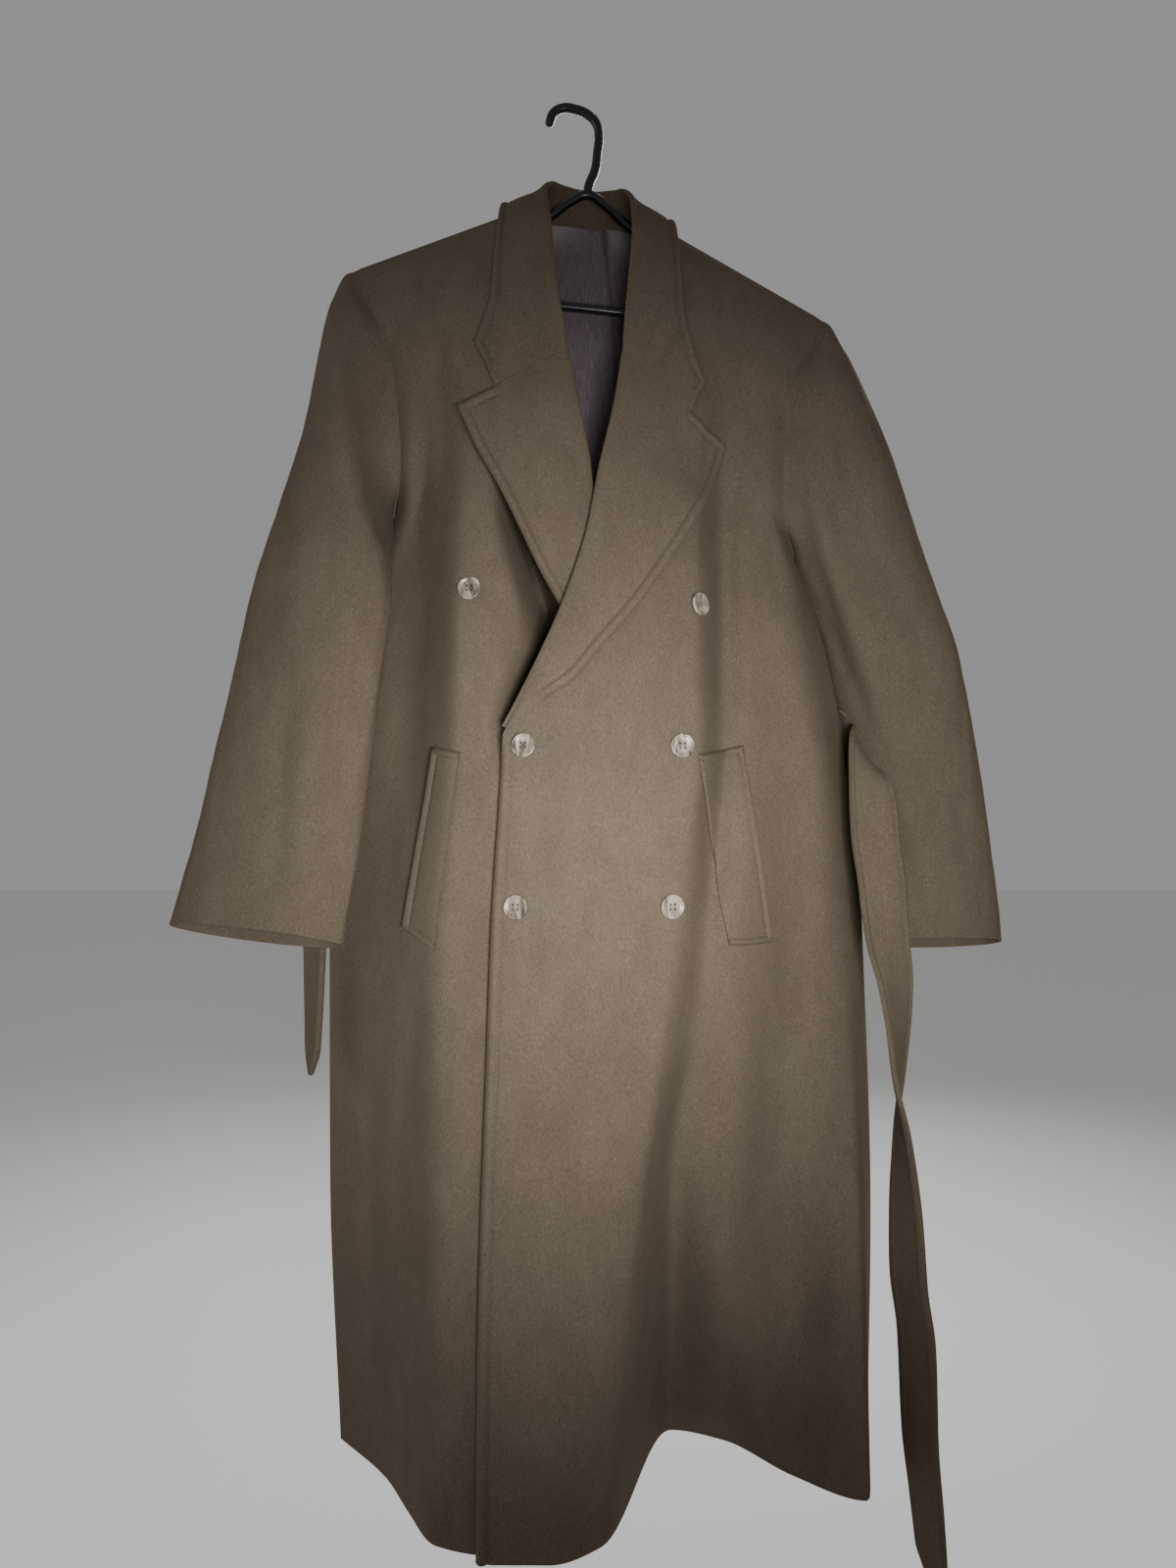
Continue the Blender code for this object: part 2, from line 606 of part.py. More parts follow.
def mirrored(station):
    return tuple((-x, y, z) for x, y, z in station)


stations = [end_station(under_depth, UNDER_COLLAR_POINT, UNDER_ROLL[0], UNDER_OUTER[0])]
stations += [front_station(under_depth, row, -1) for row in reversed(UNDER_COLLAR)]
stations += [folded(*mirrored(row)) for row in reversed(COLLAR_BACK[1:])]
stations += [folded(*row) for row in COLLAR_BACK]
stations += [front_station(over_depth, row, 1) for row in OVER_COLLAR]
stations += [end_station(over_depth, OVER_COLLAR_POINT, OVER_ROLL[0], OVER_OUTER[0])]
places = np.linspace(0.0, 1.0, len(stations))
collar_rows = []
for i in range(COLLAR_COLUMNS + 1):
    row = []
    for j in range(len(stations[0])):
        line = [station[j] for station in stations]
        row.append(tuple(smooth(places, [p[k] for p in line], i / COLLAR_COLUMNS) for k in range(3)))
    collar_rows.append(row)
cloth("collar", collar_rows, COLLAR_WALL)


# Pocket welts, laid on the fronts
def welt_rows(depth, corners):
    rows = []
    for i in range(9):
        start = mix(corners[0], corners[3], i / 8)
        end = mix(corners[1], corners[2], i / 8)
        row = [lifted(depth, *mix(start, end, j / 3), WELT_WALL + 4 * SEAM)[0] for j in range(4)]
        rows.append(row)
    return rows


cloth("welt_left", welt_rows(over_depth, OVER_WELT), WELT_WALL, turned=True)
cloth("welt_right", welt_rows(under_depth, UNDER_WELT), WELT_WALL, turned=True)

# Lining of the back, inside it and short of the hem
lining_rows = []
for z in LINING_HEIGHTS:
    wide = 0.70 * side(min(z, 0.41), 1) - 1.20 * max(z - 0.48, 0.0)
    row = []
    for j in range(9):
        x = wide * (j - 4) / 4
        slope = (back_depth(x, z + 0.002) - back_depth(x, z - 0.002)) / 0.004
        inside = (WALL + LINING_WALL + 3 * SEAM) * math.hypot(1, slope) + 0.012 * ease(0.42, 0.52, z)
        row.append((x, back_depth(x, z) - inside, z))
    lining_rows.append(row)
cloth("lining_back", lining_rows, LINING_WALL, "satin")

# Belt: one strip from tip to tip, hanging at the sides and running round the back
half = BELT_WIDTH / 2


def hanging(table):
    rows = []
    for i, (x, y, z, turn) in enumerate(table):
        wide = BELT_TIP if i == 0 else half
        angle = math.radians(turn)
        rows.append((Vector((x, y, z)), Vector((math.cos(angle), math.sin(angle), 0)) * wide))
    return rows


def turning(table):
    rows = []
    for row in table:
        rows.append((Vector(row[0:3]), Vector(row[3:6]).normalized() * half))
    return rows


def belt_round(sign):
    """The stretch from the side seam to the middle of the back, outside the cloth."""
    low = BELT_HEIGHT - half
    rows = []
    for share in BELT_BACK:
        x = sign * share * abs(side(low, sign))
        near = sign * (share - 0.004) * abs(side(low, sign))
        slope = (back_depth(x, low) - back_depth(near, low)) / (x - near)
        out = Vector((-slope, 1.0, 0)).normalized() if share < 1 else Vector((sign, 0, 0))
        centre = Vector((x, back_depth(x, low), BELT_HEIGHT)) + out * (BELT_WALL + 0.0012)
        rows.append((centre, Vector((0, 0, -half))))
    return rows


belt_line = hanging(OVER_BELT) + turning(OVER_TURN) + belt_round(1)
belt_line += list(reversed(belt_round(-1)))
belt_line += list(reversed(turning(UNDER_TURN))) + list(reversed(hanging(UNDER_BELT)))
belt_rows = [[c - w, c, c + w] for c, w in belt_line]
cloth("belt", belt_rows, BELT_WALL)


# Belt loops at the side seams, standing over the belt
def loop_rows(sign):
    low = BELT_HEIGHT - half
    out = abs(side(low, sign)) + BELT_WALL + 0.0043 + LOOP_WALL
    run = []
    for z, far in LOOP_RUN:
        near = abs(side(BELT_HEIGHT + z, sign)) + LOOP_WALL + 2 * SEAM
        run.append((near + (out - near) * far, BELT_HEIGHT + z))
    return [[(sign * x, -0.009, z), (sign * x, 0.0, z)] for x, z in run]


cloth("loop_left", loop_rows(1), LOOP_WALL, turned=True)
cloth("loop_right", loop_rows(-1), LOOP_WALL)

# Buttons, turned on a lathe and laid on the fronts
radius = BUTTON_DIAMETER / 2
profile = (
    (0.0, 0.0), (0.62 * radius, 0.0), (0.95 * radius, 0.0009), (radius, 0.0019),
    (0.93 * radius, BUTTON_THICK), (0.78 * radius, BUTTON_THICK), (0.62 * radius, 0.0024), (0.0, 0.0023),
)
for name, (x, z) in BUTTONS.items():
    depth = under_depth if name == "button_1_right" else over_depth
    seat, normal = lifted(depth, x, z, 0.0)
    aside = normal.orthogonal().normalized()
    other = normal.cross(aside)
    need = 0.0
    for turn in range(12):
        angle = turn * math.pi / 6
        rim = seat + (aside * math.cos(angle) + other * math.sin(angle)) * radius * 0.8
        need = max(need, (rim.y + depth(rim.x, rim.z)) / -normal.y)
    data = bpy.data.meshes.new(name)
    data.from_pydata([(r, 0.0, h) for r, h in profile], [(i, i + 1) for i in range(len(profile) - 1)], [])
    made = shown(name, data, "horn")
    lathe = made.modifiers.new("lathe", "SCREW")
    lathe.steps = 14
    lathe.render_steps = 14
    lathe.use_merge_vertices = True
    lathe.merge_threshold = 0.0001
    lathe.use_normal_calculate = True
    made.location = placed(seat + normal * (need + 2 * SEAM))
    made.rotation_mode = "QUATERNION"
    made.rotation_quaternion = normal.to_track_quat("Z", "Y")


# Hanger: a closed tube for the arms and the bar, joined to the hook
def tube(name, line, closed, group):
    data = bpy.data.curves.new(name, "CURVE")
    data.dimensions = "3D"
    data.bevel_depth = TUBE
    data.bevel_resolution = 1
    data.use_fill_caps = not closed
    data.resolution_u = 3
    spline = data.splines.new("BEZIER")
    spline.bezier_points.add(len(line) - 1)
    spline.use_cyclic_u = closed
    for knot, (x, z) in zip(spline.bezier_points, line):
        knot.co = placed((x, 0.0, z))
        knot.handle_left_type = "AUTO"
        knot.handle_right_type = "AUTO"
    made = bpy.data.objects.new(name, data)
    group.objects.link(made)
    return made


half_frame = HANGER_ARM + HANGER_END
frame_line = list(half_frame) + [(0.0, 0.4960)] + [(-x, z) for x, z in reversed(half_frame[1:])]
frame_curve = tube("hanger_frame_line", frame_line, True, helpers)
hook_curve = tube("hanger_hook_line", HANGER_HOOK, False, helpers)
graph = bpy.context.evaluated_depsgraph_get()
frame_data = bpy.data.meshes.new_from_object(frame_curve.evaluated_get(graph))
hook_data = bpy.data.meshes.new_from_object(hook_curve.evaluated_get(graph))
hook = bpy.data.objects.new("hanger_hook_tool", hook_data)
helpers.objects.link(hook)
hanger = shown("hanger", frame_data, "plastic")
weld = hook.modifiers.new("weld", "WELD")
weld.merge_threshold = 0.00001
join = hanger.modifiers.new("join", "BOOLEAN")
join.operation = "UNION"
join.solver = "EXACT"
join.object = hook
for helper in (frame_curve, hook_curve, hook):
    helper.hide_render = True
    helper.display_type = "WIRE"
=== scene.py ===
import math

import bpy
import bmesh
import numpy as np
from mathutils import Matrix, Vector


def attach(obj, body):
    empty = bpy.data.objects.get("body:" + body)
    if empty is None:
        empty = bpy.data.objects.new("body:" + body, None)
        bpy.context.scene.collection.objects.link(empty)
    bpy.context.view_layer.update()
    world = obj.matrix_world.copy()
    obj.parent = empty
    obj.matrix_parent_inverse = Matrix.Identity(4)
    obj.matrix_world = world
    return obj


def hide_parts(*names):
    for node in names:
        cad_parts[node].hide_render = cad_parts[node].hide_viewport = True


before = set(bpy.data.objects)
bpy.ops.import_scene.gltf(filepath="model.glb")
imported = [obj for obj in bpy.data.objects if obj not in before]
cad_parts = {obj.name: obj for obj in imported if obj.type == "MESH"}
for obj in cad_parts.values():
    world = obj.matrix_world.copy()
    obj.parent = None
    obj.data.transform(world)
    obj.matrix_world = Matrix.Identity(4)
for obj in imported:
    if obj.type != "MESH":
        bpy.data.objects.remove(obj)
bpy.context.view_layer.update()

# Hanger: a tubular clothes hanger of black polypropylene, moulded in one piece.
# The arms and the trouser bar are one closed tube, and the hook rises from its middle.
# It tips to one side, so everything above the waist leans with it.
TUBE = 0.00475
HOOK_X = -0.0133
HOOK_Z = 0.6995
LEAN = 0.105
HANGER_ARM = ((0.0, 0.6150), (0.016, 0.6075), (0.040, 0.5880), (0.085, 0.5610), (0.150, 0.5354))
HANGER_END = ((0.188, 0.5207), (0.1985, 0.5103), (0.197, 0.4990), (0.186, 0.4960))
HANGER_HOOK = (
    (-0.0400, 0.6865), (-0.0362, 0.6965), (-0.0262, 0.7028), (-0.0133, 0.70285), (-0.0005, 0.6990),
    (0.0085, 0.6905), (0.0113, 0.6780), (0.0098, 0.6600), (0.0072, 0.6414), (0.0010, 0.6254),
    (-0.0010, 0.6150),
)


def ease(low, high, value):
    """0 before low, 1 after high, and a soft step between them."""
    t = np.clip((np.asarray(value, float) - low) / (high - low), 0.0, 1.0)
    return t * t * (3 - 2 * t)


def placed(points):
    """Points as the coat hangs: leaned with the hanger and measured from the hook."""
    points = np.asarray(points, float)
    x, y, z = points[..., 0], points[..., 1], points[..., 2]
    return np.stack([x - HOOK_X, y, z - LEAN * ease(0.02, 0.30, z) * x - HOOK_Z], axis=-1)


def linear(code):
    """An sRGB hex colour as linear red, green, blue and alpha."""
    parts = [int(code[i:i + 2], 16) / 255 for i in (1, 3, 5)]
    return (*[p / 12.92 if p <= 0.04045 else ((p + 0.055) / 1.055) ** 2.4 for p in parts], 1.0)


def add(tree, kind, settings=None, links=None):
    """Adds a shader node, sets its values and joins its inputs to other sockets."""
    made = tree.nodes.new(kind)
    for key, value in (settings or {}).items():
        if isinstance(key, int) or key in made.inputs:
            made.inputs[key].default_value = value
        else:
            setattr(made, key, value)
    for key, socket in (links or {}).items():
        tree.links.new(socket, made.inputs[key])
    return made


def finish_named(name, settings):
    """A material with a Principled shader set to these values, its tree and that shader."""
    made = bpy.data.materials.new(name)
    made.use_nodes = True
    shader = made.node_tree.nodes["Principled BSDF"]
    for key, value in settings.items():
        shader.inputs[key].default_value = value
    return made, made.node_tree, shader


def noise(tree, vector, size, **settings):
    """Noise with features of this size, in metres."""
    made = add(tree, "ShaderNodeTexNoise", {"Scale": 1 / size, **settings}, {"Vector": vector})
    return made.outputs["Fac"]


def object_place(tree):
    """Where a point is on the object, in metres."""
    return add(tree, "ShaderNodeTexCoord").outputs["Object"]


def coloured(tree, shader, value, stops):
    """Colours a shader by a value, through stops given as value and sRGB colour."""
    tone = add(tree, "ShaderNodeValToRGB", None, {"Fac": value})
    elements = tone.color_ramp.elements
    while len(elements) < len(stops):
        elements.new(0.5)
    for element, (at, code) in zip(elements, stops):
        element.position = at
        element.color = linear(code)
    tree.links.new(tone.outputs["Color"], shader.inputs["Base Color"])


def glossed(tree, shader, value, low, high):
    """Lets a value move a shader's roughness between two limits."""
    gloss = add(tree, "ShaderNodeMapRange", {"To Min": low, "To Max": high}, {"Value": value})
    tree.links.new(gloss.outputs["Result"], shader.inputs["Roughness"])


def bumped(tree, shader, height, strength, distance):
    """Raises a shader's surface by a value."""
    bump = add(tree, "ShaderNodeBump", {"Strength": strength, "Distance": distance}, {"Height": height})
    tree.links.new(bump.outputs["Normal"], shader.inputs["Normal"])


def linked(name, data):
    """An object at the origin, in the scene."""
    made = bpy.data.objects.new(name, data)
    bpy.context.scene.collection.objects.link(made)
    return made


def plain_mesh(made):
    """An object's mesh as its modifiers leave it; the object itself is removed."""
    graph = bpy.context.evaluated_depsgraph_get()
    mesh = bpy.data.meshes.new_from_object(made.evaluated_get(graph))
    bpy.data.objects.remove(made, do_unlink=True)
    return mesh


def tube(name, line, closed):
    """A bent tube with round ends, as a plain mesh."""
    data = bpy.data.curves.new(name, "CURVE")
    data.dimensions = "3D"
    data.bevel_depth = TUBE
    data.bevel_resolution = 5
    data.use_fill_caps = not closed
    data.resolution_u = 10
    spline = data.splines.new("BEZIER")
    spline.bezier_points.add(len(line) - 1)
    spline.use_cyclic_u = closed
    for knot, (x, z) in zip(spline.bezier_points, line):
        knot.co = placed((x, 0.0, z))
        knot.handle_left_type = "AUTO"
        knot.handle_right_type = "AUTO"
    return plain_mesh(linked(name, data))


def shown(name, mesh, stuff):
    """A finished piece of the coat that rides on its one body."""
    piece = linked(name, mesh)
    mesh.materials.clear()
    mesh.materials.append(stuff)
    mesh.shade_smooth()
    mesh.set_sharp_from_angle(angle=math.radians(48))
    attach(piece, "root")
    return piece


# Moulded polypropylene: a glossy black skin with faint ripples and rubbed scratches
polypropylene, tree, shader = finish_named(
    "moulded_polypropylene_black",
    {"IOR": 1.49, "Roughness": 0.24, "Base Color": linear("#0f0d10")},
)
spot = object_place(tree)
glossed(tree, shader, noise(tree, spot, 0.0045, Detail=5.0), 0.16, 0.36)
bumped(tree, shader, noise(tree, spot, 0.018, Detail=1.0), 0.05, 0.0006)

BAR_Z = HANGER_END[-1][1]
half_frame = HANGER_ARM + HANGER_END
frame_line = list(half_frame) + [(0.0, BAR_Z)] + [(-x, z) for x, z in reversed(half_frame[1:])]
hanger_mesh = bmesh.new()
hanger_mesh.from_mesh(tube("frame_line", frame_line, True))
hanger_mesh.from_mesh(tube("hook_line", HANGER_HOOK, False))
tip_x, tip_z = HANGER_HOOK[0]
tip = Matrix.Translation(Vector(placed((tip_x, 0.0, tip_z))))
bmesh.ops.create_icosphere(hanger_mesh, subdivisions=3, radius=TUBE * 0.999, matrix=tip)
bmesh.ops.remove_doubles(hanger_mesh, verts=hanger_mesh.verts, dist=0.00001)
hanger_data = bpy.data.meshes.new("moulded_hanger")
hanger_mesh.to_mesh(hanger_data)
hanger_mesh.free()
hanger = shown("moulded_hanger", hanger_data, polypropylene)
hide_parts("hanger")

# Fronts: two panels of heavy fulled wool melton, the left one lapping over the right.
# Each hangs from its shoulder seam. The left one's edge is swelled and stitched 10 mm inside.
# The tables are the lines of the solids: across and forward of twelve lines at ten heights.
WALL = 0.002
SEAM = 0.0003
HEM = -0.672
UNDERARM = 0.25
ARMHOLE_TOP = 0.43
TIP_X = 0.237
NECK_X = 0.36 * TIP_X
RIDGE_AT_NECK = 0.582
RIDGE_SLOPE = 0.47
SEAM_FORWARD = 0.014
SEAM_DROP = 0.008
SHOULDER_ROUND = 0.10
LAP_STEP = 0.013
STITCH_INSET = 0.010
BEAD = 0.0019
GROOVE = 0.0008
RIM = 0.0028
HEIGHTS = (0.60, 0.50, 0.40, 0.30, 0.25, 0.17, 0.03, -0.15, -0.40, -0.672)
ACROSS = (
    (-0.237, -0.237, -0.197, -0.188, -0.203, -0.227, -0.251, -0.267, -0.266, -0.254),
    (-0.210, -0.205, -0.175, -0.172, -0.178, -0.182, -0.190, -0.205, -0.205, -0.195),
    (-0.165, -0.165, -0.150, -0.146, -0.147, -0.148, -0.152, -0.165, -0.165, -0.165),
    (-0.115, -0.115, -0.115, -0.115, -0.116, -0.118, -0.120, -0.128, -0.132, -0.135),
    (-0.060, -0.060, -0.060, -0.062, -0.066, -0.070, -0.076, -0.086, -0.091, -0.095),
    (0.0, 0.0, 0.0, 0.0, 0.0, 0.0, 0.0, -0.020, -0.030, -0.034),
    (0.100, 0.105, 0.105, 0.102, 0.101, 0.100, 0.098, 0.075, 0.040, 0.012),
    (0.135, 0.140, 0.135, 0.130, 0.129, 0.128, 0.128, 0.115, 0.083, 0.086),
    (0.165, 0.165, 0.150, 0.146, 0.148, 0.150, 0.155, 0.150, 0.122, 0.140),
    (0.190, 0.188, 0.166, 0.160, 0.167, 0.178, 0.192, 0.198, 0.198, 0.198),
    (0.215, 0.212, 0.182, 0.180, 0.196, 0.216, 0.238, 0.256, 0.260, 0.262),
    (0.237, 0.237, 0.198, 0.196, 0.2155, 0.2405, 0.266, 0.2835, 0.2877, 0.282),
)
FORWARD = (
    (0.020, 0.025, 0.045, 0.045, 0.010, 0.010, 0.010, 0.012, 0.015, 0.020),
    (0.030, 0.038, 0.058, 0.060, 0.058, 0.062, 0.066, 0.070, 0.080, 0.090),
    (0.040, 0.050, 0.070, 0.078, 0.084, 0.095, 0.108, 0.115, 0.130, 0.145),
    (0.045, 0.060, 0.085, 0.108, 0.118, 0.132, 0.145, 0.152, 0.175, 0.195),
    (0.045, 0.060, 0.090, 0.118, 0.127, 0.140, 0.157, 0.170, 0.192, 0.216),
    (0.045, 0.060, 0.090, 0.118, 0.128, 0.142, 0.160, 0.176, 0.197, 0.217),
    (0.045, 0.060, 0.085, 0.108, 0.118, 0.132, 0.150, 0.165, 0.180, 0.192),
    (0.045, 0.052, 0.072, 0.078, 0.086, 0.098, 0.118, 0.132, 0.100, 0.004),
    (0.040, 0.048, 0.066, 0.070, 0.076, 0.083, 0.098, 0.118, 0.115, 0.025),
    (0.035, 0.042, 0.060, 0.064, 0.064, 0.066, 0.075, 0.080, 0.075, 0.085),
    (0.030, 0.034, 0.054, 0.056, 0.050, 0.045, 0.048, 0.048, 0.085, 0.126),
    (0.020, 0.025, 0.045, 0.045, 0.010, 0.010, 0.010, 0.012, 0.030, 0.040),
)
OVER_EDGE = (
    (0.580, 0.0853), (0.5475, 0.070), (0.50, 0.0545), (0.455, 0.0435), (0.421, 0.0363),
    (0.3693, 0.0286), (0.297, 0.0133), (0.2325, 0.0013), (0.2015, -0.0078), (0.160, -0.0222),
    (0.108, -0.0453), (0.059, -0.0704), (0.0446, -0.0780), (0.0, -0.0801), (-0.132, -0.0880),
    (-0.2615, -0.0916), (-0.3987, -0.0956), (-0.5347, -0.0975), (-0.672, -0.0971),
)
UNDER_EDGE = (
    (0.580, -0.0853), (0.5475, -0.070), (0.50, -0.050), (0.455, -0.0345), (0.4179, -0.0232),
    (0.3544, -0.0108), (0.3075, -0.0014), (0.2823, 0.0014), (0.235, 0.0106), (0.185, 0.0226),
    (0.13, 0.030), (0.0, 0.028), (-0.30, 0.010), (-0.672, -0.010),
)
# Creases: points down the line as across and height, half width, and height out
FRONT_CREASES = (
    (((-0.161, 0.429), (-0.144, 0.364), (-0.135, 0.280)), 0.016, -0.0030),
    (((0.148, 0.447), (0.159, 0.358), (0.154, 0.242)), 0.015, -0.0030),
    (((0.129, 0.463), (0.136, 0.397)), 0.012, 0.0018),
    (((-0.174, 0.339), (-0.169, 0.254), (-0.179, 0.173)), 0.010, -0.0028),
    (((0.177, 0.337), (0.183, 0.249), (0.199, 0.144)), 0.010, -0.0026),
    (((-0.157, -0.157), (-0.168, -0.268), (-0.183, -0.406)), 0.014, -0.0040),
    (((0.157, -0.157), (0.170, -0.270), (0.173, -0.373)), 0.013, -0.0030),
    (((-0.035, -0.173), (-0.029, -0.346), (-0.035, -0.588)), 0.018, -0.0026),
    (((0.017, -0.156), (0.028, -0.346), (0.019, -0.536)), 0.016, 0.0024),
    (((-0.114, -0.175), (-0.121, -0.393), (-0.127, -0.629)), 0.013, 0.0030),
    (((-0.207, -0.197), (-0.214, -0.423), (-0.209, -0.611)), 0.014, -0.0036),
    (((0.232, -0.180), (0.242, -0.379), (0.237, -0.616)), 0.012, 0.0032),
    (((0.128, -0.192), (0.117, -0.366), (0.124, -0.567)), 0.012, -0.0028),
    (((0.136, 0.420), (0.133, 0.240), (0.131, 0.060), (0.108, -0.150), (0.086, -0.300)), 0.017, -0.0190),
    (((0.178, 0.300), (0.190, 0.200), (0.207, 0.110), (0.228, 0.020), (0.244, -0.250)), 0.024, 0.0090),
    (((-0.164, 0.430), (-0.168, 0.240), (-0.171, 0.060), (-0.176, -0.160)), 0.034, -0.0190),
    (((-0.046, 0.033), (-0.009, 0.028), (0.036, 0.032)), 0.007, -0.0010),
    (((-0.052, -0.115), (-0.013, -0.121), (0.035, -0.116)), 0.008, -0.0010),
)
UNDER_HOLLOW = ((((-0.085, 0.310), (-0.040, 0.165), (-0.038, 0.125), (-0.095, 0.010)), 0.014, -0.078),)


def smooth(places, values, place):
    """A curve through the values that never swings past them, read at each place."""
    place = np.asarray(place, float)
    places = np.broadcast_to(np.asarray(places, float), place.shape + np.shape(places)[-1:])
    values = np.broadcast_to(np.asarray(values, float), place.shape + np.shape(values)[-1:])
    if places.flat[0] > places.flat[places.shape[-1] - 1]:
        places = places[..., ::-1]
        values = values[..., ::-1]
    run = np.diff(places, axis=-1)
    slope = np.diff(values, axis=-1) / run
    left = slope[..., :-1]
    right = slope[..., 1:]
    before = 2 * run[..., 1:] + run[..., :-1]
    after = run[..., 1:] + 2 * run[..., :-1]
    same = left * right > 0
    safe_left = np.where(same, left, 1.0)
    safe_right = np.where(same, right, 1.0)
    middle = np.where(same, (before + after) / (before / safe_left + after / safe_right), 0.0)
    tangent = np.concatenate([slope[..., :1], middle, slope[..., -1:]], axis=-1)
    place = np.clip(place, places[..., 0], places[..., -1])
    i = np.clip((places <= place[..., None]).sum(-1) - 1, 0, run.shape[-1] - 1)[..., None]
    start, size = (np.take_along_axis(a, i, -1)[..., 0] for a in (places, run))
    low, high = (np.take_along_axis(values, i + k, -1)[..., 0] for k in (0, 1))
    lead, trail = (np.take_along_axis(tangent, i + k, -1)[..., 0] for k in (0, 1))
    t = (place - start) / size
    step = t * t * (3 - 2 * t)
    bend = lead * t * (1 - t) ** 2 + trail * t * t * (t - 1)
    return low * (1 - step) + high * step + bend * size


def rise(t):
    """A quarter round, steep at first."""
    t = np.clip(t, 0.0, 1.0)
    return np.sqrt(1 - (1 - t) ** 2)


def ridge(x):
    """Height of the top of the shoulder."""
    return RIDGE_AT_NECK - RIDGE_SLOPE * (np.abs(x) - NECK_X)


def side(z, sign):
    """How far across the armhole or the side seam is."""
    return smooth(HEIGHTS, ACROSS[-1 if sign > 0 else 0], z)


def creases(table, x, z):
    """Soft troughs and ridges along lines, fading out at both ends."""
    total = np.zeros(np.broadcast(x, z).shape)
    for line, width, height in table:
        nearest = np.full(total.shape, 9.0)
        reached = np.zeros(total.shape)
        done = 0.0
        for (ax, az), (bx, bz) in zip(line, line[1:]):
            size = math.hypot(bx - ax, bz - az)
            t = np.clip(((x - ax) * (bx - ax) + (z - az) * (bz - az)) / size ** 2, 0.0, 1.0)
            gap = np.hypot(x - ax - (bx - ax) * t, z - az - (bz - az) * t)
            closer = gap < nearest
            nearest = np.where(closer, gap, nearest)
            reached = np.where(closer, done + t * size, reached)
            done += size
        share = reached / done
        fade = ease(0.0, 0.3, share) * (1 - ease(0.6, 1.0, share))
        total += height * fade * np.exp(-((nearest / width) ** 2))
    return total


def waver(x, z):
    """Slow unevenness of hanging cloth, between -1 and 1."""
    waves = np.sin(61 * x + 17 * z + 0.4) + np.sin(47 * z - 23 * x + 2.1)
    waves = waves + np.sin(37 * x - 29 * z + 4.0) + np.sin(13 * x + 83 * z + 1.3)
    return waves / 4


def base_depth(x, z):
    """How far forward of the hanger the solid's front is."""
    x, z = np.broadcast_arrays(np.asarray(x, float), np.asarray(z, float))
    across = np.stack([smooth(HEIGHTS, line, z) for line in ACROSS], axis=-1)
    forward = np.stack([smooth(HEIGHTS, line, z) for line in FORWARD], axis=-1)
    chest = smooth(across, forward, x)
    below = ridge(x) - SEAM_DROP - z
    return SEAM_FORWARD + (chest - SEAM_FORWARD) * rise(below / SHOULDER_ROUND)


def over_depth(x, z):
    """The front with its creases, which fade out at the side and the shoulder."""
    x, z = np.broadcast_arrays(np.asarray(x, float), np.asarray(z, float))
    room = np.minimum(side(z, 1) - x, x - side(z, -1))
    fade = ease(0.0, 0.03, room) * ease(0.02, 0.08, ridge(x) - SEAM_DROP - z)
    moved = creases(FRONT_CREASES, x, z) + 0.0012 * waver(x, z)
    return base_depth(x, z) + moved * fade


def under_depth(x, z):
    """The under-front: it steps back behind the lap, most of all beside the lapels' crossing."""
    lap = ease(-0.155, -0.100, x) * (1 - ease(0.28, 0.37, z))
    hollow = 0.016 * np.exp(-(((x + 0.056) / 0.030) ** 2) - ((z - 0.130) / 0.060) ** 2)
    return over_depth(x, z) - LAP_STEP * lap - hollow


def hollowed_depth(x, z):
    """The under-front's cloth, sunk deep beside the over-lapel where the fronts part."""
    return under_depth(x, z) + creases(UNDER_HOLLOW, x, z)


def swelled(gap, inset=STITCH_INSET):
    """Relief beside a stitched edge: a full bead, the stitched groove, and a rounded rim."""
    bead = BEAD * np.sin(math.pi * np.clip(gap / inset, 0.0, 1.0)) ** 0.9
    groove = -GROOVE * np.exp(-(((gap - inset) / 0.0017) ** 2))
    rim = -RIM * (1 - np.clip(gap / 0.0046, 0.0, 1.0)) ** 2.2
    return bead + groove + rim


# Distances from a stitched edge at which a panel has a line of points
EDGE_STEPS = (
    (0.0, 0.0006, 0.0018, 0.0035, 0.0055, 0.0075, 0.0086, 0.0093)
    + (STITCH_INSET, 0.0107, 0.0114, 0.0125, 0.0145)
)


def spaced(total, steps, count):
    """Distances from an edge: the fixed steps first, then even ones up to the total."""
    total = np.asarray(total, float)[..., None]
    first = np.array(steps) * np.minimum(1.0, total / (2.2 * steps[-1]))
    rest = np.linspace(0.0, 1.0, count + 1)[1:]
    return np.concatenate([first, first[..., -1:] + (total - first[..., -1:]) * rest], axis=-1)


